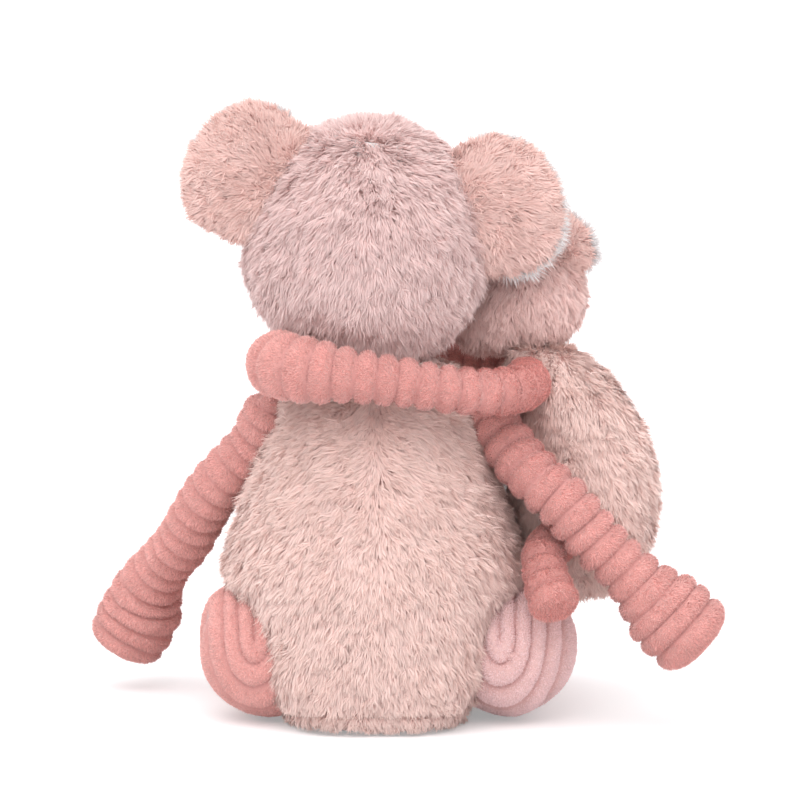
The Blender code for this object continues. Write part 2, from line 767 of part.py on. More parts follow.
def make_ear(prefix, side, head, cover, sizes):
    """A fur back with a rolled root in the head's groove, and a white lining in front."""
    name = f"{prefix}{side}_ear"
    sign = -1 if side == "left" else 1
    slope = sizes[f"{side}_slope"]
    outward = Vector((sign * math.cos(slope), 0, math.sin(slope)))
    up = Vector((-math.sin(slope), 0, sign * math.cos(slope)))
    turn = Matrix((outward, up.cross(outward), up)).transposed().to_4x4()
    place = head.matrix_world
    direction = (place.to_3x3() @ outward).normalized()
    start = place @ Vector((0, 0, sizes[f"{side}_rise"]))
    spot = surface_point(cover, start, direction) + direction * sizes["lift"]
    pivot = new_pivot(f"{name}_joint", place.inverted() @ spot, head, turn)
    half_width, half_height = sizes["half_width"], sizes["half_height"]
    radii = (half_width, sizes["thickness"] / 2, half_height)
    back = new_solid(f"{name}_back", ear_half(name, radii, sizes["reach"], False, 0), pivot, "ear_fur")
    end = Vector((0, 0, sizes["root_length"] / 2))
    root = rod_mesh(f"{name}_root", sizes["root_radius"], -end, end)
    combine(back, new_solid(f"{name}_root", root, pivot), "UNION")
    front_radii = (half_width - FIT_GAP, sizes["thickness"] / 2, half_height - FIT_GAP)
    plane = sizes["root_radius"] + FIT_GAP
    front = ear_half(f"{name}_lining", front_radii, sizes["reach"], True, plane)
    new_solid(f"{name}_lining", front, pivot, "lining")
    groove_end = end + Vector((0, 0, FIT_GAP))
    outside = (sizes["root_radius"] + FIT_GAP) / math.cos(math.pi / ROD_SIDES)
    groove = rod_mesh(f"{name}_groove", outside, -groove_end, groove_end)
    combine(cover, new_solid(f"{name}_groove", groove, pivot))


def make_parent_head(turn_joint):
    """The head's cover, open at the neck, with its stuffing, ears and face."""
    roll = Matrix.Rotation(HEAD_ROLL, 4, "Y")
    head = new_pivot("head_middle", HEAD_CENTRE - turn_joint.location, turn_joint, roll)
    shape = SoftShape(HEAD_RING_SHARES, Vector(), HEAD_HALF_HEIGHT, HEAD_HALF_WIDTH, HEAD_HALF_DEPTH)
    cover = new_solid("head_cover", soft_mesh("head_cover", shape.outer_rings(), True), head, "fur")
    smooth(cover)
    low = NECK_HEIGHT - HEAD_CENTRE.z + 2 * FUR_WALL
    high = HEAD_HALF_HEIGHT - 2 * FUR_WALL
    hollow = soft_mesh("head_cavity", shape.inner_rings(FUR_WALL, low, high, 6))
    combine(cover, new_solid("head_cavity", hollow, head))
    packed = shape.inner_rings(FUR_WALL, low, high, 6, STUFFING_GAP)
    stuffing = new_solid("head_stuffing", soft_mesh("head_stuffing", packed), head, "stuffing")
    inside = Vector((0, 0, low + OVERRUN))
    outside = Vector((0, 0, NECK_HEIGHT - HEAD_CENTRE.z - 2 * FUR_WALL))
    mouth = rod_mesh("head_mouth", NECK_MOUTH_RADIUS, inside, outside)
    combine(cover, new_solid("head_mouth", mouth, head))
    corner = Vector((HEAD_HALF_WIDTH, HEAD_HALF_DEPTH, 0))
    under = Vector((0, 0, NECK_HEIGHT - HEAD_HALF_HEIGHT / 2))
    neck_cut = box_mesh("neck_cut", under - corner, Vector((0, 0, NECK_HEIGHT + FIT_GAP)) + corner)
    combine(cover, new_solid("neck_cut", neck_cut))
    for side in ("left", "right"):
        make_ear("", side, head, cover, PARENT_EAR)
    make_face("", head, cover, stuffing, PARENT_FACE)


def make_cub_head(head, neck):
    """The cub's round head, open towards its neck."""
    radius = CUB_HEAD_RADIUS
    cover = new_solid("cub_head_cover", ball_mesh("cub_head_cover", (radius,) * 3), head, "fur")
    hollow = ball_mesh("cub_head_cavity", (radius - FUR_WALL,) * 3, segments=CORE_SEGMENTS)
    combine(cover, new_solid("cub_head_cavity", hollow, head))
    packed = ball_mesh(
        "cub_head_stuffing", (radius - FUR_WALL - STUFFING_GAP,) * 3, segments=CORE_SEGMENTS
    )
    stuffing = new_solid("cub_head_stuffing", packed, head, "stuffing")
    towards = head.matrix_world.to_3x3().inverted() @ (neck - CUB_HEAD_CENTRE).normalized()
    inside = towards * (radius - 2 * FUR_WALL)
    mouth = rod_mesh("cub_head_mouth", CUB_NECK_MOUTH_RADIUS, inside, towards * (radius + OVERRUN))
    combine(cover, new_solid("cub_head_mouth", mouth, head))
    for side in ("left", "right"):
        make_ear("cub_", side, head, cover, CUB_EAR)
    make_face("cub_", head, cover, stuffing, CUB_FACE)


def make_cub_body(shape, parent_shape, seats, neck):
    """The cub's body, seated against the parent's side and open at its neck."""
    cover = new_solid(
        "cub_body_cover", soft_mesh("cub_body_cover", shape.outer_rings(), True), None, "fur"
    )
    smooth(cover)
    low, high = 2 * FUR_WALL, shape.height - 2 * FUR_WALL
    hollow = soft_mesh("cub_body_cavity", shape.inner_rings(FUR_WALL, low, high, 5))
    cavity = new_solid("cub_body_cavity", hollow)
    packed = shape.inner_rings(FUR_WALL, low, high, 5, STUFFING_GAP)
    stuffing = new_solid(
        "cub_body_stuffing", soft_mesh("cub_body_stuffing", packed), None, "stuffing"
    )
    head_name, head_radius = "cub_head", CUB_HEAD_RADIUS
    cut_seats(cavity, "inner", seats, FUR_WALL)
    cut_socket(cavity, f"{head_name}_inner_seat", CUB_HEAD_CENTRE, head_radius, FUR_WALL)
    cut_seats(stuffing, "stuffing", seats, FUR_WALL + STUFFING_GAP)
    stuffing_gap = FUR_WALL + STUFFING_GAP
    cut_socket(stuffing, f"{head_name}_stuffing_seat", CUB_HEAD_CENTRE, head_radius, stuffing_gap)
    combine(cover, cavity)
    mouth = rod_mesh("cub_neck_mouth", CUB_NECK_MOUTH_RADIUS / 2, neck, CUB_HEAD_CENTRE)
    combine(cover, new_solid("cub_neck_mouth", mouth))
    cut_seats(cover, "outer", seats)
    name, place, limb = seats[0]
    for count, opening in enumerate((CUB_ARM_OPENING / 2, CUB_ARM_OPENING)):
        cut_limb_room(cover, f"{name}_open_room_{count}", limb, place, 0, opening)
    cut_socket(cover, f"{head_name}_seat", CUB_HEAD_CENTRE, head_radius)
    side = new_solid("parent_side", soft_mesh("parent_side", parent_shape.outer_rings(FIT_GAP), True))
    smooth(side)
    combine(cover, side)


def build():
    base = Vector((0, 0, PANEL_HEIGHT + FIT_GAP))
    body_shape = SoftShape(
        BODY_RING_SHARES, base, NECK_HEIGHT - base.z, BODY_HALF_WIDTH, BODY_HALF_DEPTH
    )
    joints = {
        "left_arm": LEFT_SHOULDER,
        "right_arm": RIGHT_SHOULDER,
        "left_leg": Vector((-LEFT_HIP_SIDE, -HIP_BACK, HIP_HEIGHT)),
        "right_leg": Vector((RIGHT_HIP_SIDE, -HIP_BACK, HIP_HEIGHT)),
    }
    left_sizes = (ARM_BALL_RADIUS, ARM_RADIUS, LEFT_PAW_RADIUS)
    right_sizes = (ARM_BALL_RADIUS, ARM_RADIUS, RIGHT_PAW_RADIUS)
    left_reach = (-LEFT_ARM_REACH, LEFT_ARM_FORE, -LEFT_ARM_DROP)
    right_reach = (RIGHT_ARM_REACH, -RIGHT_ARM_BACK, -RIGHT_ARM_DROP)
    leg_sizes = (HIP_RADIUS, LEG_RADIUS, FOOT_RADIUS)
    left_leg_reach = (LEFT_TOE_IN, LEG_REACH, -LEG_DROP)
    right_leg_reach = (LEG_SPREAD, LEG_REACH, -LEG_DROP)
    arms = {
        "left_arm": Limb(LEFT_ARM_PATH_SHARES, left_reach, ARM_SWELL_SHARES, *left_sizes),
        "right_arm": Limb(RIGHT_ARM_PATH_SHARES, right_reach, ARM_SWELL_SHARES, *right_sizes),
    }
    legs = {
        "left_leg": Limb(LEG_PATH_SHARES, left_leg_reach, LEG_SWELL_SHARES, *leg_sizes),
        "right_leg": Limb(LEG_PATH_SHARES, right_leg_reach, LEG_SWELL_SHARES, *leg_sizes),
    }
    leg_seats = [(name, joints[name], leg) for name, leg in legs.items()]
    arm_seats = [(name, joints[name], arm) for name, arm in arms.items()]
    make_base(body_shape, leg_seats)
    make_pellet_bag(body_shape)
    make_body(body_shape, arm_seats + leg_seats)
    for name, limb in arms.items():
        pivot = new_pivot(f"{name}_joint", joints[name])
        make_limb(name, limb, pivot, body_shape.inward(joints[name]))
    for name, limb in legs.items():
        pivot = new_pivot(f"{name}_joint", joints[name])
        make_limb(name, limb, pivot, body_shape.inward(joints[name]), True)
    make_parent_head(new_pivot("head_joint", Vector((HEAD_CENTRE.x, HEAD_CENTRE.y, NECK_HEIGHT))))

    cub_base = Vector((CUB_SIDE, CUB_FORE, CUB_BASE_HEIGHT))
    cub_shape = SoftShape(
        CUB_BODY_RING_SHARES, cub_base, CUB_BODY_HEIGHT, CUB_HALF_WIDTH, CUB_HALF_DEPTH, CUB_LEAN
    )
    neck, _, _ = cub_shape.ring(CUB_NECK_SHARE, 0)
    cub_joints = {
        "cub_left_arm": CUB_LEFT_SHOULDER,
        "cub_right_arm": CUB_RIGHT_SHOULDER,
        "cub_left_leg": CUB_LEFT_HIP,
        "cub_right_leg": CUB_RIGHT_HIP,
    }
    arm_sizes = (CUB_ARM_BALL_RADIUS, CUB_ARM_RADIUS, CUB_PAW_RADIUS)
    leg_sizes = (CUB_HIP_RADIUS, CUB_LEG_RADIUS, CUB_FOOT_RADIUS)
    back_reach = (-CUB_ARM_REACH, -CUB_ARM_SWEEP, CUB_ARM_RISE)
    front_reach = (-CUB_FRONT_REACH, CUB_FRONT_SWEEP, CUB_FRONT_RISE)
    back_leg_reach = (-CUB_LEG_SIDE, -CUB_LEG_REACH, -CUB_LEG_DROP)
    front_leg_reach = (-CUB_LEG_SIDE, CUB_FRONT_LEG_REACH, -CUB_FRONT_LEG_DROP)
    cub_limbs = {
        "cub_left_arm": Limb(
            CUB_LEFT_ARM_PATH_SHARES, back_reach, CUB_ARM_SWELL_SHARES, *arm_sizes
        ),
        "cub_right_arm": Limb(
            CUB_RIGHT_ARM_PATH_SHARES, front_reach, CUB_ARM_SWELL_SHARES, *arm_sizes
        ),
        "cub_left_leg": Limb(CUB_LEG_PATH_SHARES, back_leg_reach, LEG_SWELL_SHARES, *leg_sizes),
        "cub_right_leg": Limb(CUB_LEG_PATH_SHARES, front_leg_reach, LEG_SWELL_SHARES, *leg_sizes),
    }
    seats = [(name, cub_joints[name], limb) for name, limb in cub_limbs.items()]
    make_cub_body(cub_shape, body_shape, seats, neck)
    yaw = Matrix.Rotation(CUB_HEAD_YAW, 4, "Z")
    make_cub_head(new_pivot("cub_head_joint", CUB_HEAD_CENTRE, None, yaw), neck)
    for name, place, limb in seats:
        make_limb(name, limb, new_pivot(f"{name}_joint", place), cub_shape.inward(place))


PARENT_EAR = {
    "half_width": EAR_HALF_WIDTH,
    "half_height": EAR_HALF_HEIGHT,
    "thickness": EAR_THICKNESS,
    "root_radius": EAR_ROOT_RADIUS,
    "root_length": EAR_ROOT_LENGTH,
    "lift": EAR_LIFT,
    "left_rise": LEFT_EAR_RISE,
    "right_rise": RIGHT_EAR_RISE,
    "reach": EAR_REACH,
    "left_slope": LEFT_EAR_SLOPE,
    "right_slope": RIGHT_EAR_SLOPE,
}
CUB_EAR = {
    "half_width": CUB_EAR_HALF_WIDTH,
    "half_height": CUB_EAR_HALF_HEIGHT,
    "thickness": CUB_EAR_THICKNESS,
    "root_radius": CUB_EAR_ROOT_RADIUS,
    "root_length": CUB_EAR_ROOT_LENGTH,
    "lift": CUB_EAR_LIFT,
    "left_rise": CUB_EAR_RISE,
    "right_rise": CUB_EAR_RISE,
    "reach": CUB_EAR_REACH,
    "left_slope": CUB_EAR_SLOPE,
    "right_slope": CUB_EAR_SLOPE,
}
PARENT_FACE = {
    "eye_radius": EYE_RADIUS,
    "eye_half_thickness": EYE_HALF_THICKNESS,
    "eye_spread": EYE_SPREAD,
    "eye_rise": EYE_RISE,
    "shank_radius": SHANK_RADIUS,
    "shank_length": SHANK_LENGTH,
    "washer_radius": WASHER_RADIUS,
    "washer_thickness": WASHER_THICKNESS,
    "nose_half_width": NOSE_HALF_WIDTH,
    "nose_half_height": NOSE_HALF_HEIGHT,
    "nose_half_depth": NOSE_HALF_DEPTH,
    "nose_drop": NOSE_DROP,
    "nose_lift": NOSE_LIFT,
}
CUB_FACE = {
    "eye_radius": CUB_EYE_RADIUS,
    "eye_half_thickness": CUB_EYE_HALF_THICKNESS,
    "eye_spread": CUB_EYE_SPREAD,
    "eye_rise": CUB_EYE_RISE,
    "shank_radius": CUB_SHANK_RADIUS,
    "shank_length": CUB_SHANK_LENGTH,
    "washer_radius": CUB_WASHER_RADIUS,
    "washer_thickness": CUB_WASHER_THICKNESS,
    "nose_half_width": CUB_NOSE_HALF_WIDTH,
    "nose_half_height": CUB_NOSE_HALF_HEIGHT,
    "nose_half_depth": CUB_NOSE_HALF_DEPTH,
    "nose_drop": CUB_NOSE_DROP,
    "nose_lift": CUB_NOSE_LIFT,
}

clear_scene()
PARTS = new_collection("plush_koala")
CUTTERS = new_collection("cutters")
MATERIALS = {
    "fur": new_material("fur", FUR_PINK, 0.95),
    "ear_fur": new_material("ear_fur", EAR_PINK, 0.95),
    "rib": new_material("ribbed_plush", RIB_PINK, 0.9),
    "lining": new_material("ear_lining", LINING_WHITE, 0.95),
    "stuffing": new_material("stuffing", STUFFING_WHITE, 1.0),
    "bag": new_material("pellet_bag", BAG_CREAM, 0.8),
    "eye": new_material("eye", EYE_BLACK, 0.08),
    "nose": new_material("nose", NOSE_BROWN, 0.45),
    "washer": new_material("washer", WASHER_CLEAR, 0.4),
}
build()
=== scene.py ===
"""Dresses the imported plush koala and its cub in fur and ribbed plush, and sets up the studio."""

import math

import bmesh
import bpy
import numpy as np
from mathutils import Matrix, Vector, noise


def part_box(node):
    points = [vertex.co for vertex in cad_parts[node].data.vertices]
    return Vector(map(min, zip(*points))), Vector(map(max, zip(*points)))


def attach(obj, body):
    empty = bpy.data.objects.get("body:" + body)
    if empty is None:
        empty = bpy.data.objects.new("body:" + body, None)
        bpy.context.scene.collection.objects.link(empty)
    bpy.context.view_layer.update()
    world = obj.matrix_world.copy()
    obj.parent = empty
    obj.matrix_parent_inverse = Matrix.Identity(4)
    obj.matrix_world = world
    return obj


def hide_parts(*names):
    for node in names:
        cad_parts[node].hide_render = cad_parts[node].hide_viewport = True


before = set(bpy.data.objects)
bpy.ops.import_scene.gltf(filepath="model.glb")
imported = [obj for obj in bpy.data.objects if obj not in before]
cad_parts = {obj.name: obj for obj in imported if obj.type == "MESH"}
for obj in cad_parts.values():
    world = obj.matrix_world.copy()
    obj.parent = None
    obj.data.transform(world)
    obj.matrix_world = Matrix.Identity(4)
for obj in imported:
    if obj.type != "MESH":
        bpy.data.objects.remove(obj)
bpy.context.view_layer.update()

bl_info = {
    "name": "Plush koala with cub",
    "version": (1, 0, 0),
    "blender": (4, 5, 0),
    "location": "3D View > Sidebar > Plush koala",
    "description": "Furs and dresses a seated plush koala with its cub",
    "category": "Object",
}

BAKE_UV = "OFBake"

# Soft forms: rows of height share, half width share and half depth share. The cub's body has a lean share too, and
# the parent's is as in the part's table but fuller at the foot.
BODY_ROWS = (
    (0.0, 0.67, 0.89), (0.07, 0.71, 0.95), (0.20, 0.76, 0.99), (0.30, 0.89, 1.0), (0.38, 1.0, 1.0),
    (0.46, 0.94, 0.98), (0.56, 0.86, 0.93), (0.70, 0.76, 0.82), (0.84, 0.67, 0.66),
    (0.94, 0.56, 0.50), (1.0, 0.42, 0.36),
)
HEAD_ROWS = (
    (-1.10, 0.46, 0.44), (-0.80, 0.76, 0.70), (-0.54, 0.95, 0.89), (-0.16, 1.0, 0.98), (0.18, 0.96, 1.0),
    (0.48, 0.86, 0.92), (0.74, 0.69, 0.75), (0.91, 0.46, 0.52), (1.0, 0.20, 0.24), (1.01, 0.0, 0.0),
)
CUB_BODY_ROWS = (
    (0.0, 0.40, 0.40, -0.10), (0.08, 0.74, 0.76, 0.0), (0.25, 0.97, 0.97, 0.05), (0.46, 1.0, 1.0, 0.03),
    (0.70, 0.90, 0.88, -0.18), (0.88, 0.70, 0.67, -0.58), (1.0, 0.42, 0.40, -1.0),
)
BALL_ROWS = tuple(
    (math.sin(math.radians(a)), math.cos(math.radians(a)), math.cos(math.radians(a)))
    for a in range(-90, 91, 15)
)
PANEL_ROWS = (
    (-0.05, 0.47, 0.64), (0.10, 0.55, 0.77), (0.45, 0.605, 0.85), (0.90, 0.625, 0.88), (1.0, 0.60, 0.85),
)

# Places and sizes that go with those tables, in metres: a size is a height, a half width and a half depth
NECK_HEIGHT = 0.188
BODY_HALF_WIDTH = 0.082
BODY_HALF_DEPTH = 0.067
BODY_FOOT_CLEARANCE = 0.0015
PANEL_FOOT = (0, 0, 0.0012)
PANEL_HEIGHT = 0.0105
PANEL_INSET = 0.0032
CUB_BODY_FOOT = (0.107, 0.020, 0.064)
CUB_BODY_SIZE = (0.128, 0.041, 0.034)
CUB_BODY_LEAN = 0.022
CUB_BODY_MIDDLE = (0.1105, 0.020, 0)
HEAD_RADIUS = 0.064
HEAD_HALF_DEPTH = 0.058
HEAD_SEAT_GAP = 0.001
CUB_HEAD_RADIUS = 0.0345
HEAD_CENTRE = Vector((-0.004, 0.004, 0.251))
HEAD_ROLL = math.radians(8)
CUB_HEAD_CENTRE = Vector((0.078, 0.045, 0.216))
CUB_HEAD_YAW = math.radians(-15)

# Swells of fur: the middle, how far and which way the skin is drawn there, and how far round it
CUB_SHOULDER_SWELL = ((0.095, -0.010, 0.174), (-0.003, -0.010, 0.001), 0.034)
CUB_HEAD_SWELL = ((0.052, 0.028, 0.196), (-0.016, -0.006, -0.007), 0.030)

# Over the root of the cub's back arm the fur is longer and lies across
CUB_SHOULDER = Vector((0.086, -0.032, 0.176))
SHOULDER_LAY = Vector((-2.2, -1.0, 0.2))
SHOULDER_REACH = 0.030

# Heights: no fur on what looks down below the first or up above the second, the cub's is short above the third
FOOT_HEIGHT = 0.0125
NECK_FLAT_HEIGHT = 0.184
CUB_NECK_HEIGHT = 0.186

# Clumps on a square metre, how unruly a tuft of fur is, and how far the ribbed skin lies inside the nap
FUR_CLUMPS = 8e4
FUR_JITTER = 0.30
NAP_CLUMPS = 9e4
NAP_INSET = 0.0010

# The parent's legs beside all other limbs: shares for ribs' pitch, nap's length and nap's density, sides of a ring
LEG_PITCH_SHARE = 0.80
LEG_NAP_LENGTH_SHARE = 0.75
LEG_NAP_DENSITY_SHARE = 0.8
LEG_SIDES = 150
LIMB_SIDES = 52

# Rings of a limb: distance between two, rings of the paw's end, and how much of a drop counts where ribs nest
RING_STEP = 0.0010
CAP_RINGS = 12
NEST_DROP_SHARE = 0.62

# How far a limb has grown from its tube's radius to its paw's: rows of run share, growth share
ARM_SWELL = ((0.0, 0.0), (0.40, 0.12), (0.70, 0.06), (0.80, 0.40), (0.90, 1.0), (1.0, 0.92))
LEFT_ARM_SWELL = ((0.0, 0.0), (0.40, 0.12), (0.71, 0.06), (0.81, 0.42), (0.91, 1.0), (1.0, 0.94))
CUB_ARM_SWELL = ((0.0, 0.0), (0.50, 0.05), (0.72, 0.35), (0.86, 1.0), (1.0, 0.92))
LEG_SWELL = ((0.0, 0.0), (0.70, 0.10), (0.90, 1.0), (1.0, 1.0))
LEG_PATH = ((0, 0, 0), (0.30, 0.30, 0.42), (0.60, 0.55, 0.95), (1, 1, 0.84))
CUB_LEG_PATH = ((0, 0, 0), (0.80, 0.40, 0.12), (0.80, 0.72, 0.52), (0.30, 1, 1))

# Limbs: root, reach, radii of ball, tube and paw, path corners as shares of the reach, and how full the stuffing is.
# A hip's ribs nest round its dart, in x and z from the root. Its corners are powers for its outer side above and
# below its middle: 2 is round, more is squarer.
LIMBS = {
    "left_arm": {
        "root": (-0.056, -0.002, 0.157), "reach": (-0.070, 0.080, -0.129), "radii": (0.0150, 0.0142, 0.0220),
        "path": ((0, 0, 0), (0.09, 0.08, 0.11), (0.32, 0.20, 0.26), (0.49, 0.375, 0.41), (0.61, 0.55, 0.55),
                 (0.76, 0.74, 0.667), (0.88, 0.89, 0.783), (0.95, 0.965, 0.90), (1.03, 1, 0.985)),
        "swell": LEFT_ARM_SWELL, "fill": 0.7,
    },
    "right_arm": {
        "root": (0.060, -0.008, 0.155), "reach": (0.101, -0.034, -0.103), "radii": (0.0150, 0.0142, 0.0240),
        "path": ((0, 0, 0), (0.07, 0.22, 0.07), (0.15, 0.48, 0.16), (0.24, 0.68, 0.24), (0.37, 0.82, 0.35),
                 (0.53, 0.88, 0.53), (0.72, 0.92, 0.72), (0.88, 0.97, 0.88), (1, 1, 0.99)),
        "swell": ARM_SWELL, "fill": 0.7,
    },
    "left_leg": {
        "root": (-0.056, -0.008, 0.0375), "reach": (0.012, 0.112, -0.008), "radii": (0.0355, 0.026, 0.0275),
        "path": LEG_PATH, "swell": LEG_SWELL, "fill": 0.8, "dart": (-0.0065, 0.0116), "corners": (3.3, 2.0),
    },
    "right_leg": {
        "root": (0.070, -0.008, 0.0375), "reach": (0.006, 0.112, -0.008), "radii": (0.0355, 0.026, 0.0275),
        "path": LEG_PATH, "swell": LEG_SWELL, "fill": 0.8, "dart": (-0.006, 0.0116), "corners": (2.2, 1.8),
    },
    "cub_left_arm": {
        "root": (0.078, 0.004, 0.177), "reach": (-0.129, -0.058, 0.015), "radii": (0.0123, 0.0125, 0.0180),
        "path": ((0, 0, 0), (0, 0.36, 0.02), (0.06, 0.66, 0.05), (0.17, 0.88, 0.13), (0.31, 0.98, 0.30),
                 (0.50, 1.03, 0.58), (0.68, 1.05, 0.80), (0.84, 1, 0.93), (0.95, 0.86, 1), (1, 0.66, 1)),
        "swell": CUB_ARM_SWELL, "fill": 0.7,
    },
    "cub_right_arm": {
        "root": (0.084, 0.044, 0.169), "reach": (-0.100, 0.022, 0.014), "radii": (0.0123, 0.0125, 0.0180),
        "path": ((0, 0, 0), (0.20, 0.62, 0.20), (0.46, 0.98, 0.50), (0.74, 1, 0.80), (1, 0.72, 1)),
        "swell": CUB_ARM_SWELL, "fill": 0.7,
    },
    "cub_left_leg": {
        "root": (0.094, -0.006, 0.094), "reach": (-0.008, -0.050, -0.022), "radii": (0.012, 0.012, 0.0135),
        "path": CUB_LEG_PATH, "swell": LEG_SWELL, "fill": 0.8,
    },
    "cub_right_leg": {
        "root": (0.106, 0.046, 0.085), "reach": (-0.008, 0.036, -0.018), "radii": (0.012, 0.012, 0.0135),
        "path": CUB_LEG_PATH, "swell": LEG_SWELL, "fill": 0.8,
    },
}

EAR_HALVES = (0.027, 0.007, 0.038)
EAR_REACH = 0.0075
CUB_EAR_HALVES = (0.015, 0.005, 0.020)
CUB_EAR_REACH = 0.002

# Ears: root, outward and up directions, halves of width, thickness and height, distance from root to middle
EARS = {
    "left_ear": (
        (-0.06032, 0.004, 0.28077), (-0.9455, 0, 0.3256), (-0.3256, 0, -0.9455), EAR_HALVES, EAR_REACH,
    ),
    "right_ear": (
        (0.05805, 0.004, 0.26543), (0.9926, 0, 0.1218), (-0.1218, 0, 0.9926), EAR_HALVES, EAR_REACH,
    ),
    "cub_left_ear": (
        (0.05531, 0.05108, 0.24219), (-0.6588, 0.1765, 0.7314), (-0.7064, 0.1893, -0.6820),
        CUB_EAR_HALVES, CUB_EAR_REACH,
    ),
    "cub_right_ear": (
        (0.10069, 0.03892, 0.24219), (0.6588, -0.1765, 0.7314), (-0.7064, 0.1893, 0.6820),
        CUB_EAR_HALVES, CUB_EAR_REACH,
    ),
}
# How a finished ear differs from the part's lens: its tilt, how far it is moved, and its half width
EAR_TRIMS = {
    "left_ear": (math.radians(14), (-0.0015, 0, 0.0030), 0.0285),
    "right_ear": (math.radians(-7), (0.0020, 0, 0.0020), 0.0285),
    "cub_left_ear": (0.0, (0.0, 0, 0), 0.0150),
    "cub_right_ear": (0.0, (-0.0055, 0, 0), 0.0140),
}
# Which way the white lining's pile shows beyond the ear's rim
FRINGES = {"right_ear": (0.75, 0, -0.66), "cub_right_ear": (1, 0, 0)}
EYES = {
    "head": (((-0.02891, 0.05393, 0.26056), 0.0065), ((0.02258, 0.05401, 0.25332), 0.0065)),
    "cub_head": (((0.07219, 0.07742, 0.220), 0.0045), ((0.09924, 0.07017, 0.220), 0.0045)),
}
NOSES = {"head": ((-0.00595, 0.0604, 0.23714), 0.014), "cub_head": ((0.0867, 0.07746, 0.208), 0.0085)}

# The photograph's frame in pixels: its side, the column of the body's middle and the row of the floor line
IMAGE_SIDE = 800
MIDDLE_COLUMN = 375
FLOOR_ROW = 718
METRES_PER_PIXEL = 0.516e-3
CAMERA_DISTANCE = 8.0
CAMERA_RISE = math.radians(10)
SENSOR_WIDTH = 36

# Soft suns: name, turn in degrees, share of the key's strength, spread in degrees
SUNS = (("key", (38, 0, -28), 1.0, 55), ("fill", (52, 0, 42), 0.50, 80), ("top", (8, 0, 0), 0.60, 80))
FLOOR_REACH = 14.0
FLOOR_GLOW = 0.30


class FurSettings(bpy.types.PropertyGroup):
    """Sizes and colours of the long-pile fur."""

    length: bpy.props.FloatProperty(
        name="Pile length", description="Length of a tuft on the bodies and heads",
        default=0.0078, min=0.002, max=0.03, unit="LENGTH",
    )
    width: bpy.props.FloatProperty(
        name="Tuft width", description="Width of a tuft at its root", default=0.00058, min=0.0002, max=0.004,
        unit="LENGTH",
    )
    density: bpy.props.FloatProperty(
        name="Tufts", description="Tufts on a square metre", default=3.8e6, min=1e4, max=6e6,
    )
    inset: bpy.props.FloatProperty(
        name="Backing depth", description="How far the fur's backing lies inside the fur's mean surface",
        default=0.0042, min=0.001, max=0.01, unit="LENGTH",
    )
    clump: bpy.props.FloatProperty(
        name="Clumping", description="How far tufts lean to their clump's middle", default=0.55, min=0, max=1,
        subtype="FACTOR",
    )
    tip: bpy.props.FloatVectorProperty(
        name="Tip colour", description="Colour of the fur's tips", subtype="COLOR", size=3,
        default=(0.97, 0.77, 0.71), min=0, max=1,
    )
    # The root colour is darker than the tip: painted shade deep in the pile.
    root: bpy.props.FloatVectorProperty(
        name="Root colour", description="Colour of the fur down at its backing", subtype="COLOR", size=3,
        default=(0.90, 0.57, 0.53), min=0, max=1,
    )


class PlushSettings(bpy.types.PropertyGroup):
    """Sizes and colours of the ribbed plush."""

    pitch: bpy.props.FloatProperty(
        name="Rib pitch", description="Distance from one rib to the next", default=0.0106,
        min=0.003, max=0.03, unit="LENGTH",
    )
    depth: bpy.props.FloatProperty(
        name="Rib depth", description="Depth of the groove between two ribs", default=0.0034,
        min=0, max=0.005, unit="LENGTH",
    )
    crest: bpy.props.FloatVectorProperty(
        name="Rib colour", description="Colour of a rib's top", subtype="COLOR", size=3,
        default=(0.79, 0.38, 0.345), min=0, max=1,
    )
    # The groove colour is darker than the rib's colour: painted shade in the grooves.
    groove: bpy.props.FloatVectorProperty(
        name="Groove colour", description="Colour between two ribs", subtype="COLOR", size=3,
        default=(0.56, 0.27, 0.26), min=0, max=1,
    )
    nap_tip: bpy.props.FloatVectorProperty(
        name="Nap colour", description="Colour of the nap's tips", subtype="COLOR", size=3,
        default=(0.93, 0.52, 0.48), min=0, max=1,
    )
    nap: bpy.props.FloatProperty(
        name="Nap length", description="Length of the plush's short pile", default=0.0017,
        min=0.0005, max=0.006, unit="LENGTH",
    )
    nap_width: bpy.props.FloatProperty(
        name="Nap width", description="Width of a nap tuft at its root", default=0.00060,
        min=0.0002, max=0.003, unit="LENGTH",
    )
    nap_density: bpy.props.FloatProperty(
        name="Nap tufts", description="Nap tufts on a square metre", default=3.0e6, min=1e4, max=6e6,
    )


class StudioSettings(bpy.types.PropertyGroup):
    """Light and floor."""

    sky: bpy.props.FloatProperty(
        name="Sky", description="Strength of the even light from all round", default=0.74, min=0, max=3,
    )
    key: bpy.props.FloatProperty(
        name="Key light", description="Strength of the soft light from above the viewer", default=1.10,
        min=0, max=10,
    )
    floor: bpy.props.FloatVectorProperty(
        name="Floor colour", description="Colour of the floor", subtype="COLOR", size=3,
        default=(0.88, 0.87, 0.88), min=0, max=1,
    )


# ---------------------------------------------------------------- materials


def new_group(name, inputs, outputs):
    """A shader node group with its sockets: (name, type, default) rows."""
    group = bpy.data.node_groups.new(name, "ShaderNodeTree")
    for label, kind, value in inputs:
        socket = group.interface.new_socket(label, in_out="INPUT", socket_type=kind)
        socket.default_value = value
    for label, kind in outputs:
        group.interface.new_socket(label, in_out="OUTPUT", socket_type=kind)
    return group, group.nodes.new("NodeGroupInput"), group.nodes.new("NodeGroupOutput")


def mix_colour(tree, factor, first, second, blend="MIX"):
    """A Mix node for colours; each argument is a socket or a plain value."""
    node = tree.nodes.new("ShaderNodeMix")
    node.data_type = "RGBA"
    node.blend_type = blend
    for index, value in ((0, factor), (6, first), (7, second)):
        if isinstance(value, bpy.types.NodeSocket):
            tree.links.new(value, node.inputs[index])
        else:
            node.inputs[index].default_value = value
    return node.outputs[2]


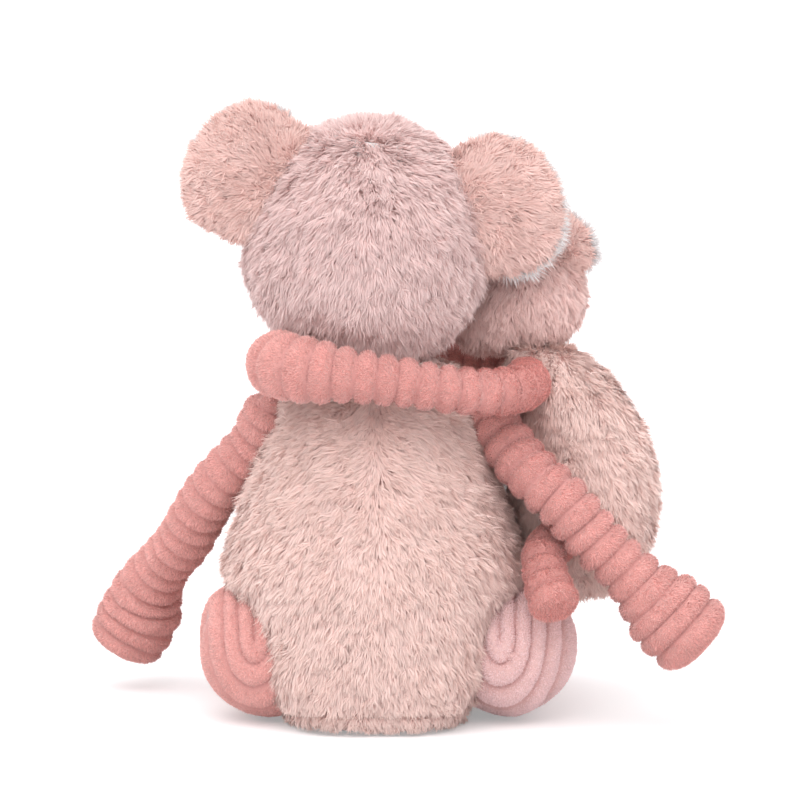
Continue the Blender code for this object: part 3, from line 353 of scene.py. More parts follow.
def maths(tree, operation, first, second=None):
    """A shader Math node; each argument is a socket or a plain value."""
    node = tree.nodes.new("ShaderNodeMath")
    node.operation = operation
    for index, value in enumerate((first, second)):
        if isinstance(value, bpy.types.NodeSocket):
            tree.links.new(value, node.inputs[index])
        elif value is not None:
            node.inputs[index].default_value = value
    return node.outputs[0]


def noise_texture(tree, scale, detail=2.0, roughness=0.5):
    """Noise on the object's own coordinates."""
    place = tree.nodes.new("ShaderNodeTexCoord")
    node = tree.nodes.new("ShaderNodeTexNoise")
    node.inputs["Scale"].default_value = scale
    node.inputs["Detail"].default_value = detail
    node.inputs["Roughness"].default_value = roughness
    tree.links.new(place.outputs["Object"], node.inputs["Vector"])
    return node.outputs["Fac"]


def grow_pile_group():
    """Colour of a tuft from its tint and from where along it the surface is; darker towards the root, which is
    painted shade deep in the pile.
    """
    group, inside, outside = new_group(
        "Pile colour",
        (
            ("Tint", "NodeSocketFloat", 0.5),
            ("Along", "NodeSocketFloat", 0.5),
            ("Root", "NodeSocketColor", (0.5, 0.3, 0.3, 1)),
            ("Tip", "NodeSocketColor", (0.8, 0.6, 0.6, 1)),
            ("Variation", "NodeSocketFloat", 0.25),
        ),
        (("Color", "NodeSocketColor"),),
    )
    rise = maths(group, "POWER", inside.outputs["Along"], 0.55)
    colour = mix_colour(group, rise, inside.outputs["Root"], inside.outputs["Tip"])
    centred = maths(group, "SUBTRACT", inside.outputs["Tint"], 0.5)
    swing = maths(group, "MULTIPLY", centred, inside.outputs["Variation"])
    level = maths(group, "ADD", swing, 1.0)
    grey = group.nodes.new("ShaderNodeCombineColor")
    for socket in grey.inputs:
        group.links.new(level, socket)
    shaded = mix_colour(group, 1.0, colour, grey.outputs[0], "MULTIPLY")
    group.links.new(shaded, outside.inputs["Color"])
    return group


def nap_group():
    """Fine nap of short plush: a height, and a colour factor from a coarse and a fine noise."""
    group, inside, outside = new_group(
        "Short nap",
        (("Coarse", "NodeSocketFloat", 220.0), ("Fine", "NodeSocketFloat", 1100.0)),
        (("Height", "NodeSocketFloat"), ("Shade", "NodeSocketFloat")),
    )
    place = group.nodes.new("ShaderNodeTexCoord")
    facs = []
    for label, detail in (("Coarse", 3.0), ("Fine", 2.0)):
        node = group.nodes.new("ShaderNodeTexNoise")
        node.inputs["Detail"].default_value = detail
        group.links.new(place.outputs["Object"], node.inputs["Vector"])
        group.links.new(inside.outputs[label], node.inputs["Scale"])
        facs.append(node.outputs["Fac"])
    coarse = maths(group, "MULTIPLY", facs[0], 0.35)
    fine = maths(group, "MULTIPLY", facs[1], 0.65)
    mixed = maths(group, "ADD", coarse, fine)
    group.links.new(mixed, outside.inputs["Height"])
    group.links.new(mixed, outside.inputs["Shade"])
    return group


def new_material(name, roughness, sheen=0.0, sheen_roughness=0.5, specular=0.5):
    """A material with its Principled BSDF's plain values set."""
    material = bpy.data.materials.new(name)
    material.use_nodes = True
    shader = material.node_tree.nodes["Principled BSDF"]
    shader.inputs["Roughness"].default_value = roughness
    shader.inputs["Sheen Weight"].default_value = sheen
    shader.inputs["Sheen Roughness"].default_value = sheen_roughness
    shader.inputs["Specular IOR Level"].default_value = specular
    return material, material.node_tree, shader


def fur_material(name, group, root, tip, variation, sheen=0.25):
    """Colour of tufts, read from the tint and the place along a tuft that the UV map holds."""
    material, tree, shader = new_material(name, 0.95, sheen, 0.6, 0.15)
    place = tree.nodes.new("ShaderNodeUVMap")
    place.uv_map = BAKE_UV
    split = tree.nodes.new("ShaderNodeSeparateXYZ")
    tree.links.new(place.outputs["UV"], split.inputs[0])
    pile = tree.nodes.new("ShaderNodeGroup")
    pile.node_tree = group
    tree.links.new(split.outputs["X"], pile.inputs["Tint"])
    tree.links.new(split.outputs["Y"], pile.inputs["Along"])
    pile.inputs["Root"].default_value = (*root, 1)
    pile.inputs["Tip"].default_value = (*tip, 1)
    pile.inputs["Variation"].default_value = variation
    tree.links.new(pile.outputs["Color"], shader.inputs["Base Color"])
    return material


def nap_material(name, group, crest, groove, coarse, fine, bump, sheen, use_rib):
    """Short-pile cloth; with use_rib its grooves get the darker groove colour, which is painted shade in the
    grooves.
    """
    material, tree, shader = new_material(name, 0.9, sheen, 0.45, 0.2)
    nap = tree.nodes.new("ShaderNodeGroup")
    nap.node_tree = group
    nap.inputs["Coarse"].default_value = coarse
    nap.inputs["Fine"].default_value = fine
    light = mix_colour(
        tree, nap.outputs["Shade"], (*[c * 0.72 for c in crest], 1), (*[min(1, c * 1.28) for c in crest], 1)
    )
    # Painted shade: the groove colour darkens the cloth where the rib attribute is low.
    if use_rib:
        rib = tree.nodes.new("ShaderNodeAttribute")
        rib.attribute_name = "rib"
        depth = maths(tree, "POWER", rib.outputs["Fac"], 0.6)
        light = mix_colour(tree, depth, (*groove, 1), light)
    tree.links.new(light, shader.inputs["Base Color"])
    node = tree.nodes.new("ShaderNodeBump")
    node.inputs["Strength"].default_value = bump
    node.inputs["Distance"].default_value = 0.0008
    tree.links.new(nap.outputs["Height"], node.inputs["Height"])
    tree.links.new(node.outputs["Normal"], shader.inputs["Normal"])
    return material


def hard_material(name, colour, roughness, scale, bump, coat=0.0):
    """A moulded or woven finish with fine unevenness."""
    material, tree, shader = new_material(name, roughness)
    shader.inputs["Coat Weight"].default_value = coat
    grain = noise_texture(tree, scale, 4.0, 0.6)
    dark = (*[c * 0.75 for c in colour], 1)
    pale = (*[min(1, c * 1.2) for c in colour], 1)
    tree.links.new(mix_colour(tree, grain, dark, pale), shader.inputs["Base Color"])
    node = tree.nodes.new("ShaderNodeBump")
    node.inputs["Strength"].default_value = bump
    node.inputs["Distance"].default_value = 0.0003
    tree.links.new(grain, node.inputs["Height"])
    tree.links.new(node.outputs["Normal"], shader.inputs["Normal"])
    return material


def make_materials(scene):
    """Every finish, from the settings' colours; the numbers are shares of those colours."""
    fur, plush = scene.koala_fur, scene.koala_plush
    pile, nap = grow_pile_group(), nap_group()
    root, tip = tuple(fur.root), tuple(fur.tip)
    head_tip = tuple(c * k for c, k in zip(tip, (0.91, 0.90, 0.95)))
    ear_tip = tuple(c * k for c, k in zip(tip, (1.0, 0.94, 0.94)))
    cub_head_tip = tuple(c * k for c, k in zip(tip, (1.0, 0.94, 0.96)))
    crest, groove = tuple(plush.crest), tuple(plush.groove)
    pale_crest = tuple(c * k for c, k in zip(crest, (1.06, 1.38, 1.46)))
    nap_tip = tuple(plush.nap_tip)
    # Nap roots are darker than nap tips: painted shade deep in the nap.
    nap_shaded_root = [c * k for c, k in zip(nap_tip, (0.78, 0.66, 0.66))]
    pale_tip = [min(0.98, c * k) for c, k in zip(nap_tip, (1.05, 1.38, 1.50))]
    pale_shaded_root = [c * k for c, k in zip(pale_tip, (0.80, 0.72, 0.72))]
    return {
        # Each fur is darker at its root than at its tip: painted shade deep in the pile.
        "fur": fur_material("fur", pile, root, tip, 0.30),
        "head_fur": fur_material("head_fur", pile, root, head_tip, 0.30),
        "ear_fur": fur_material("ear_fur", pile, root, ear_tip, 0.26),
        "cub_head_fur": fur_material("cub_head_fur", pile, root, cub_head_tip, 0.26),
        "lining_fur": fur_material("lining_fur", pile, (0.90, 0.85, 0.86), (0.98, 0.96, 0.96), 0.10),
        # The backing takes the darker root colour: painted shade under the fur.
        "backing": nap_material("backing", nap, root, groove, 300, 900, 0.4, 0.1, False),
        "lining_backing": nap_material(
            "lining_backing", nap, (0.86, 0.80, 0.81), groove, 300, 900, 0.4, 0.1, False
        ),
        "nap": fur_material("plush_nap", pile, nap_shaded_root, nap_tip, 0.6, 0.5),
        "pale_nap": fur_material("pale_plush_nap", pile, pale_shaded_root, pale_tip, 0.3, 0.5),
        "ribbed": nap_material("ribbed_plush", nap, crest, groove, 260, 1250, 0.55, 0.45, True),
        "pale_ribbed": nap_material(
            "pale_ribbed_plush", nap, pale_crest, groove, 260, 1250, 0.55, 0.45, True,
        ),
        "eye": hard_material("eye_gloss", (0.014, 0.011, 0.010), 0.08, 400, 0.02, 0.6),
        "nose": hard_material("nose_matt", (0.085, 0.048, 0.046), 0.5, 1500, 0.25),
        "washer": hard_material("washer_clear", (0.62, 0.62, 0.61), 0.35, 300, 0.05),
        "stuffing": hard_material("stuffing_fibre", (0.85, 0.85, 0.84), 0.95, 700, 0.8),
        "bag": hard_material("pellet_bag_cloth", (0.70, 0.64, 0.54), 0.85, 1800, 0.5),
    }


# ---------------------------------------------------------------- shapes


def spline_row(rows, t):
    """A row of the table at a place along it, smoothed as a cubic B-spline is."""
    last = len(rows) - 1
    k = min(int(t), last - 1)
    u = t - k
    picks = [rows[min(max(k + d, 0), last)] for d in (-1, 0, 1, 2)]
    weights = (
        (1 - u) ** 3 / 6,
        (3 * u**3 - 6 * u**2 + 4) / 6,
        (-3 * u**3 + 3 * u**2 + 3 * u + 1) / 6,
        u**3 / 6,
    )
    return [sum(w * row[i] for w, row in zip(weights, picks)) for i in range(len(rows[0]))]


def mesh_of_rings(name, rings, matrix=None):
    """A closed skin through loops of points; each end runs to a middle point."""
    points, faces = [], []
    sides = len(rings[0])
    for ring in rings:
        points.extend(ring)
    for i in range(len(rings) - 1):
        for k in range(sides):
            after = (k + 1) % sides
            a, b = i * sides, (i + 1) * sides
            faces.append((a + k, a + after, b + after, b + k))
    for ring, first, turn in ((rings[0], 0, True), (rings[-1], (len(rings) - 1) * sides, False)):
        middle = len(points)
        points.append(sum(ring, Vector()) / sides)
        for k in range(sides):
            a, b = first + k, first + (k + 1) % sides
            faces.append((b, a, middle) if turn else (a, b, middle))
    mesh = bpy.data.meshes.new(name)
    mesh.from_pydata([tuple(p) for p in points], [], faces)
    if matrix:
        mesh.transform(matrix)
    mesh.validate()
    shape = bmesh.new()
    shape.from_mesh(mesh)
    bmesh.ops.recalc_face_normals(shape, faces=shape.faces)
    shape.to_mesh(mesh)
    shape.free()
    mesh.shade_smooth()
    return mesh


def soft_skin(
    name, rows, base, size, inset, lean=0.0, matrix=None, sides=72, steps=5, lumps=0.0012, square=(0.0, 1.0)
):
    """A stuffed form from its table, drawn in by an inset, with the slight lumps of its filling.

    Square says how much squarer than an oval its rings are at the foot, and up to which height share.
    """
    height, half_width, half_depth = size
    rings = []
    count = (len(rows) - 1) * steps
    for n in range(count + 1):
        row = spline_row(rows, n / steps)
        centre = Vector(base) + Vector((lean * (row[3] if len(row) > 3 else 0), 0, height * row[0]))
        across = max(half_width * row[1] - inset, 0.0004)
        along = max(half_depth * row[2] - inset, 0.0004)
        ring = []
        power = 2 / (2 + square[0] * min(1, max(0, 1 - row[0] / square[1])))
        for k in range(sides):
            angle = math.tau * k / sides
            cosine, sine = math.cos(angle), math.sin(angle)
            wide = math.copysign(abs(cosine) ** power, cosine)
            deep = math.copysign(abs(sine) ** power, sine)
            spot = centre + Vector((across * wide, along * deep, 0))
            lump = noise.noise(spot * 38) * lumps
            ring.append(spot + Vector((math.cos(angle), math.sin(angle), 0)) * lump)
        rings.append(ring)
    return mesh_of_rings(name, rings, matrix)


def new_piece(name, mesh, body, material, node=None):
    """A finished piece: it rides on a body and replaces its CAD node."""
    piece = bpy.data.objects.new(name, mesh)
    bpy.context.scene.collection.objects.link(piece)
    if material:
        mesh.materials.clear()
        mesh.materials.append(material)
    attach(piece, body)
    if node:
        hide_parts(*([node] if isinstance(node, str) else node))
    return piece


# ---------------------------------------------------------------- geometry node trees


def new_tree(name, inputs):
    """A geometry node tree with its sockets: (name, type, default) rows."""
    tree = bpy.data.node_groups.new(name, "GeometryNodeTree")
    tree.interface.new_socket("Geometry", in_out="INPUT", socket_type="NodeSocketGeometry")
    for label, kind, value in inputs:
        socket = tree.interface.new_socket(label, in_out="INPUT", socket_type=kind)
        if value is not None:
            socket.default_value = value
    tree.interface.new_socket("Geometry", in_out="OUTPUT", socket_type="NodeSocketGeometry")
    return tree, tree.nodes.new("NodeGroupInput"), tree.nodes.new("NodeGroupOutput")


class Wires:
    """Short ways to add and wire geometry nodes."""

    def __init__(self, tree):
        self.tree = tree

    def put(self, value, socket):
        if isinstance(value, bpy.types.NodeSocket):
            self.tree.links.new(value, socket)
        elif value is not None:
            socket.default_value = value

    def node(self, kind, **settings):
        node = self.tree.nodes.new(kind)
        for key, value in settings.items():
            setattr(node, key, value)
        return node

    def maths(self, operation, first, second=None):
        node = self.node("ShaderNodeMath", operation=operation)
        for index, value in enumerate((first, second)):
            self.put(value, node.inputs[index])
        return node.outputs[0]

    def vector(self, operation, first, second=None, scale=None):
        node = self.node("ShaderNodeVectorMath", operation=operation)
        self.put(first, node.inputs[0])
        self.put(second, node.inputs[1])
        if scale is not None:
            self.put(scale, next(s for s in node.inputs if s.name == "Scale"))
        return node.outputs[0]

    def wander(self, place, scale, amount):
        """A vector that drifts from place to place."""
        node = self.node("ShaderNodeTexNoise")
        node.inputs["Scale"].default_value = scale
        self.put(place, node.inputs["Vector"])
        centred = self.vector("SUBTRACT", node.outputs["Color"], (0.5, 0.5, 0.5))
        return self.vector("SCALE", centred, scale=amount)

    def attribute(self, name, kind="FLOAT"):
        node = self.node("GeometryNodeInputNamedAttribute", data_type=kind)
        node.inputs["Name"].default_value = name
        return node.outputs["Attribute"]

    def random(self, low, high, seed, kind="FLOAT"):
        node = self.node("FunctionNodeRandomValue", data_type=kind)
        shown = [socket for socket in node.inputs if socket.enabled]
        self.put(low, shown[0])
        self.put(high, shown[1])
        node.inputs["Seed"].default_value = seed
        return next(socket for socket in node.outputs if socket.enabled)

    def store(self, geometry, name, value, kind="FLOAT", domain="POINT"):
        node = self.node("GeometryNodeStoreNamedAttribute", data_type=kind, domain=domain)
        self.put(geometry, node.inputs["Geometry"])
        node.inputs["Name"].default_value = name
        self.put(value, node.inputs["Value"])
        return node.outputs[0]


def grow_tree():
    """Grows combed, clumped tufts on a skin that carries flow, pile, cover, painted shade and sector attributes."""
    tree, inside, outside = new_tree(
        "Fur",
        (
            ("Tuft", "NodeSocketObject", None),
            ("Sector", "NodeSocketInt", 0),
            ("Density", "NodeSocketFloat", 1e6),
            ("Clump density", "NodeSocketFloat", 4e4),
            ("Length", "NodeSocketFloat", 0.011),
            ("Width", "NodeSocketFloat", 0.001),
            ("Rise", "NodeSocketFloat", 0.45),
            ("Clumping", "NodeSocketFloat", 0.7),
            ("Jitter", "NodeSocketFloat", 0.22),
            ("Sway", "NodeSocketFloat", 1.0),
            ("Seed", "NodeSocketInt", 1),
            ("Material", "NodeSocketMaterial", None),
        ),
    )
    w = Wires(tree)
    same = w.node("FunctionNodeCompare", data_type="INT", operation="EQUAL")
    shown = [socket for socket in same.inputs if socket.enabled]
    w.put(w.attribute("sector", "INT"), shown[0])
    w.put(inside.outputs["Sector"], shown[1])
    spread = w.node("GeometryNodeDistributePointsOnFaces", distribute_method="RANDOM")
    w.put(inside.outputs["Geometry"], spread.inputs["Mesh"])
    w.put(same.outputs[0], spread.inputs["Selection"])
    w.put(w.maths("MULTIPLY", inside.outputs["Density"], w.attribute("cover")), spread.inputs["Density"])
    w.put(inside.outputs["Seed"], spread.inputs["Seed"])
    clumps = w.node("GeometryNodeDistributePointsOnFaces", distribute_method="RANDOM")
    w.put(inside.outputs["Geometry"], clumps.inputs["Mesh"])
    w.put(inside.outputs["Clump density"], clumps.inputs["Density"])
    near = w.node("GeometryNodeProximity", target_element="POINTS")
    w.put(clumps.outputs["Points"], near.inputs[0])
    place = w.node("GeometryNodeInputPosition").outputs[0]
    flow = w.attribute("flow", "FLOAT_VECTOR")
    pile = w.attribute("pile")
    normal = spread.outputs["Normal"]
    stored = w.store(spread.outputs["Points"], "outward", normal, "FLOAT_VECTOR")
    normal = w.attribute("outward", "FLOAT_VECTOR")
    lifted = w.vector("SCALE", normal, scale=inside.outputs["Rise"])
    lean = w.vector("ADD", flow, lifted)
    length = w.maths("MULTIPLY", inside.outputs["Length"], pile)
    pull = w.vector("SUBTRACT", near.outputs["Position"], place)
    pull = w.vector("SCALE", pull, scale=w.maths("DIVIDE", inside.outputs["Clumping"], length))
    jitter = w.random((-1, -1, -1), (1, 1, 1), 11, "FLOAT_VECTOR")
    jitter = w.vector("SCALE", jitter, scale=inside.outputs["Jitter"])
    course = w.vector("ADD", w.vector("ADD", lean, pull), jitter)
    sway = w.vector("ADD", w.wander(place, 70, 1.6), w.wander(place, 240, 2.6))
    course = w.vector("ADD", course, w.vector("SCALE", sway, scale=inside.outputs["Sway"]))
    align = w.node("FunctionNodeAlignRotationToVector", axis="Z")
    w.put(course, align.inputs["Vector"])
    face = w.node("FunctionNodeAlignRotationToVector", axis="Y", pivot_axis="Z")
    w.put(align.outputs[0], face.inputs["Rotation"])
    w.put(normal, face.inputs["Vector"])
    patch = w.node("ShaderNodeTexNoise")
    patch.inputs["Scale"].default_value = 130
    w.put(place, patch.inputs["Vector"])
    varied = w.maths("MULTIPLY", length, w.random(0.66, 1.18, 5))
    long = w.maths("MULTIPLY", varied, w.maths("ADD", patch.outputs[0], 0.5))
    wide = w.maths("MULTIPLY", inside.outputs["Width"], w.random(0.65, 1.35, 7))
    scale = w.node("ShaderNodeCombineXYZ")
    for index, value in enumerate((wide, long, long)):
        w.put(value, scale.inputs[index])
    cloud = w.node("ShaderNodeTexNoise")
    cloud.inputs["Scale"].default_value = 90
    cloud.inputs["Detail"].default_value = 2
    w.put(place, cloud.inputs["Vector"])
    single = w.maths("MULTIPLY", w.random(0.0, 1.0, 9), 0.55)
    tint = w.maths("ADD", single, w.maths("MULTIPLY", cloud.outputs[0], 0.45))
    # Painted shade: the tint is multiplied by the skin's painted shade factor, which darkens nap tufts in the
    # grooves.
    stored = w.store(stored, "tint", w.maths("MULTIPLY", tint, w.attribute("painted_shade_factor")))
    tuft = w.node("GeometryNodeObjectInfo")
    w.put(inside.outputs["Tuft"], tuft.inputs["Object"])
    copies = w.node("GeometryNodeInstanceOnPoints")
    w.put(stored, copies.inputs["Points"])
    w.put(tuft.outputs["Geometry"], copies.inputs["Instance"])
    w.put(face.outputs[0], copies.inputs["Rotation"])
    w.put(scale.outputs[0], copies.inputs["Scale"])
    real = w.node("GeometryNodeRealizeInstances")
    w.put(copies.outputs[0], real.inputs[0])
    split = w.node("ShaderNodeSeparateXYZ")
    w.put(w.node("GeometryNodeInputPosition").outputs[0], split.inputs[0])
    above = w.node("ShaderNodeCombineXYZ")
    w.put(split.outputs[0], above.inputs[0])
    w.put(split.outputs[1], above.inputs[1])
    w.put(w.maths("MAXIMUM", split.outputs[2], 0.0006), above.inputs[2])
    moved = w.node("GeometryNodeSetPosition")
    w.put(real.outputs[0], moved.inputs["Geometry"])
    w.put(above.outputs[0], moved.inputs["Position"])
    flat = w.node("ShaderNodeCombineXYZ")
    w.put(w.attribute("tint"), flat.inputs[0])
    w.put(w.attribute("along"), flat.inputs[1])
    mapped = w.store(moved.outputs[0], BAKE_UV, flat.outputs[0], "FLOAT2", "CORNER")
    painted = w.node("GeometryNodeSetMaterial")
    w.put(mapped, painted.inputs["Geometry"])
    w.put(inside.outputs["Material"], painted.inputs["Material"])
    w.put(painted.outputs[0], outside.inputs[0])
    return tree


def rib_tree():
    """Presses grooves into a skin that carries its rib's run, and leaves the ribs' height as an attribute."""
    tree, inside, outside = new_tree(
        "Ribs",
        (
            ("Pitch", "NodeSocketFloat", 0.0106),
            ("Depth", "NodeSocketFloat", 0.0022),
            ("Roundness", "NodeSocketFloat", 0.55),
            ("Lumps", "NodeSocketFloat", 0.0007),
            ("Nap", "NodeSocketFloat", 0.00022),
            ("Material", "NodeSocketMaterial", None),
        ),
    )
    w = Wires(tree)
    place = w.node("GeometryNodeInputPosition").outputs[0]
    wobble = w.node("ShaderNodeTexNoise")
    wobble.inputs["Scale"].default_value = 55
    w.put(place, wobble.inputs["Vector"])
    shift = w.maths("MULTIPLY", w.maths("SUBTRACT", wobble.outputs[0], 0.5), 0.0022)
    run = w.maths("ADD", w.attribute("run"), shift)
    wave = w.maths("SINE", w.maths("MULTIPLY", w.maths("DIVIDE", run, inside.outputs["Pitch"]), math.pi))
    rib = w.maths("POWER", w.maths("ABSOLUTE", wave), inside.outputs["Roundness"])
    stored = w.store(inside.outputs["Geometry"], "rib", rib)
    groove = w.maths("MULTIPLY", w.maths("SUBTRACT", w.attribute("rib"), 1.0), inside.outputs["Depth"])
    lump = w.node("ShaderNodeTexNoise")
    lump.inputs["Scale"].default_value = 75
    w.put(place, lump.inputs["Vector"])
    swell = w.maths("MULTIPLY", w.maths("SUBTRACT", lump.outputs[0], 0.5), inside.outputs["Lumps"])
    nap = w.node("ShaderNodeTexNoise")
    nap.inputs["Scale"].default_value = 620
    w.put(place, nap.inputs["Vector"])
    hair = w.maths("MULTIPLY", w.maths("SUBTRACT", nap.outputs[0], 0.5), inside.outputs["Nap"])
    height = w.maths("ADD", w.maths("ADD", groove, swell), hair)
    offset = w.vector("SCALE", w.node("GeometryNodeInputNormal").outputs[0], scale=height)
    moved = w.node("GeometryNodeSetPosition")
    w.put(stored, moved.inputs["Geometry"])
    w.put(offset, moved.inputs["Offset"])
    painted = w.node("GeometryNodeSetMaterial")
    w.put(moved.outputs[0], painted.inputs["Geometry"])
    w.put(inside.outputs["Material"], painted.inputs["Material"])
    real = w.node("GeometryNodeRealizeInstances")
    w.put(painted.outputs[0], real.inputs[0])
    w.put(real.outputs[0], outside.inputs[0])
    return tree


def run_tree(mesh, tree, values, keep=()):
    """The plain mesh that a tree makes of a mesh, with only the attributes that are kept."""
    holder = bpy.data.objects.new("holder", mesh)
    bpy.context.scene.collection.objects.link(holder)
    modifier = holder.modifiers.new("tree", "NODES")
    modifier.node_group = tree
    for item in tree.interface.items_tree:
        if item.in_out == "INPUT" and item.name in values:
            modifier[item.identifier] = values[item.name]
    bpy.context.view_layer.update()
    seen = holder.evaluated_get(bpy.context.evaluated_depsgraph_get())
    made = bpy.data.meshes.new_from_object(seen)
    bpy.data.objects.remove(holder, do_unlink=True)
    for attribute in list(made.attributes):
        plain = attribute.name in keep or attribute.is_internal or attribute.is_required
        if not plain and attribute.name not in ("position", "sharp_face", "material_index", BAKE_UV):
            made.attributes.remove(attribute)
    made.shade_smooth()
    return made


def tuft_object():
    """One tuft: a narrow leaf along +Z, pointed at both ends, that arches towards +Y."""
    belly, arch = 0.42, 0.12
    points = [(0, 0, 0), (-0.5, arch, belly), (0.5, arch, belly), (0, 0, 1)]
    mesh = bpy.data.meshes.new("tuft")
    mesh.from_pydata(points, [], [(0, 2, 1), (1, 2, 3)])
    attribute = mesh.attributes.new("along", "FLOAT", "POINT")
    attribute.data.foreach_set("value", [point[2] for point in points])
    mesh.shade_smooth()
    tuft = bpy.data.objects.new("tuft", mesh)
    bpy.context.scene.collection.objects.link(tuft)
    return tuft


def nap_object():
    """One short nap tuft: a single narrow leaf along +Z."""
    mesh = bpy.data.meshes.new("nap_tuft")
    mesh.from_pydata([(-0.5, 0, 0), (0.5, 0, 0), (0, 0, 1)], [], [(0, 1, 2)])
    attribute = mesh.attributes.new("along", "FLOAT", "POINT")
    attribute.data.foreach_set("value", [0.0, 0.0, 1.0])
    nap = bpy.data.objects.new("nap_tuft", mesh)
    bpy.context.scene.collection.objects.link(nap)
    return nap


# ---------------------------------------------------------------- combing


def put_values(mesh, name, values, kind="FLOAT", domain="POINT"):
    """Stores a list of values on a mesh as a named attribute."""
    attribute = mesh.attributes.new(name, kind, domain)
    field = "vector" if kind == "FLOAT_VECTOR" else "value"
    number = np.int32 if kind == "INT" else np.float32
    attribute.data.foreach_set(field, np.asarray(values, dtype=number).ravel())


def comb(mesh, flow_at, pile_at, sectors=1, middle=Vector()):
    """Stores which way the fur lies, how long it is and where none grows, and cuts the skin into sectors."""
    flows, piles, covers = [], [], []
    for vertex in mesh.vertices:
        normal = vertex.normal
        flow = flow_at(vertex.co, normal)
        flow = flow - normal * flow.dot(normal)
        flows.append(tuple(flow / max(1.0, flow.length)))
        pile = pile_at(vertex.co, normal)
        piles.append(max(pile, 0.12))
        covers.append(0.0 if pile <= 0 else 1.0)
    put_values(mesh, "flow", flows, "FLOAT_VECTOR")
    put_values(mesh, "pile", piles)
    put_values(mesh, "cover", covers)
    # Fur gets no painted shade on its tint.
    put_values(mesh, "painted_shade_factor", [1.0] * len(covers))
    picks = []
    for face in mesh.polygons:
        angle = math.atan2(face.center.y - middle.y, face.center.x - middle.x) % math.tau
        picks.append(int(angle / math.tau * sectors) % sectors)
    put_values(mesh, "sector", picks, "INT", "FACE")


def body_flow(place, _):
    """Down, and outwards from the middle seam; the fan is wide at the neck and narrow at the base."""
    fan = np.interp(place.z, (0.02, 0.06, 0.10, 0.13, 0.16, 0.19), (0.08, 0.22, 0.50, 0.95, 1.6, 1.7))
    side = math.tanh(place.x / 0.005)
    sway = noise.noise(place * 45) * 0.35
    return Vector((side * fan + sway, 0.0, -1.0))


def head_flow(place, _):
    """Away from the crown, where the fur stands up, then down the back on both sides of the seam."""
    crown = Vector((-0.006, -0.020, 0.310))
    away = (place - crown).normalized()
    side = math.tanh((place.x + 0.002) / 0.006) * 0.4
    sway = noise.noise(place * 45) * 0.35
    calm = min(1, (place - crown).length / 0.030)
    return (away * 1.2 + Vector((side + sway, 0.0, -0.75)) * calm) * calm


def shoulder_share(place):
    """How near a place is to where the cub's fur hides the root of its back arm."""
    return max(0.0, 1 - (place - CUB_SHOULDER).length / SHOULDER_REACH)


def cub_body_flow(place, _):
    """Down and away from the parent, and across the shoulder towards the back arm."""
    away = Vector((place.x - 0.080, place.y - 0.035, 0)).normalized()
    sway = noise.noise(place * 50) * 0.35
    return away * 0.55 + Vector((sway, 0, -1.0)) + SHOULDER_LAY * shoulder_share(place)


def cub_head_flow(place, _):
    """Away from the crown and down."""
    crown = CUB_HEAD_CENTRE + Vector((0.0, -0.004, 0.034))
    sway = noise.noise(place * 50) * 0.3
    return (place - crown).normalized() * 0.8 + Vector((0.15 + sway, 0, -0.6))


def panel_flow(place, _):
    """Down, and a little outwards all round."""
    return Vector((place.x * 9, place.y * 9, -1.0))


def face_pile(body):
    """Pile length on a head: short round the eyes and nose, none under them."""
    spots = [(Vector(spot), radius) for spot, radius in EYES[body]]
    spots.append((Vector(NOSES[body][0]), NOSES[body][1]))

    def pile_at(place, _):
        pile = 1.0
        for spot, radius in spots:
            away = (place - spot).length
            if away < radius * 1.05:
                return 0.0
            pile = min(pile, 0.22 + 0.78 * min(1, (away - radius) / 0.018))
        return pile

    return pile_at


def body_pile(place, normal):
    """Full on the body, shorter near its foot, and none under it or on the neck's flat."""
    if place.z < FOOT_HEIGHT and normal.z < -0.7:
        return 0.0
    if place.z > NECK_FLAT_HEIGHT and normal.z > 0.7:
        return 0.0
    return 0.62 + 0.38 * min(1, max(0, (place.z - 0.012) / 0.018))


def cub_body_pile(place, _):
    """Full on the body, short at the neck and longer over the root of the back arm."""
    return (1.0 if place.z < CUB_NECK_HEIGHT else 0.6) + 0.7 * shoulder_share(place)


def panel_pile(_, normal):
    """None on the face that the toy rests on, and a little short elsewhere."""
    return 0.0 if normal.z < -0.85 else 0.85


# ---------------------------------------------------------------- limbs


class Path:
    """A smooth line through corner points, read by the distance along it."""

    def __init__(self, corners):
        ends = [2 * corners[0] - corners[1], *corners, 2 * corners[-1] - corners[-2]]
        self.points = [corners[0]]
        for a, b, c, d in zip(ends, ends[1:], ends[2:], ends[3:]):
            for k in range(1, 13):
                t = k / 12
                point = b + (c - a) * t / 2 + (a - 2.5 * b + 2 * c - 0.5 * d) * t**2
                self.points.append(point + (1.5 * b - 0.5 * a - 1.5 * c + 0.5 * d) * t**3)
        self.runs = [0.0]
        for a, b in zip(self.points, self.points[1:]):
            self.runs.append(self.runs[-1] + (b - a).length)
        self.length = self.runs[-1]

    def at(self, run):
        for k in range(1, len(self.runs)):
            if run <= self.runs[k]:
                mix = (run - self.runs[k - 1]) / (self.runs[k] - self.runs[k - 1])
                return self.points[k - 1].lerp(self.points[k], mix)
        return self.points[-1].copy()

    def heading(self, run):
        step = 0.003
        return (self.at(min(run + step, self.length)) - self.at(max(run - step, 0))).normalized()


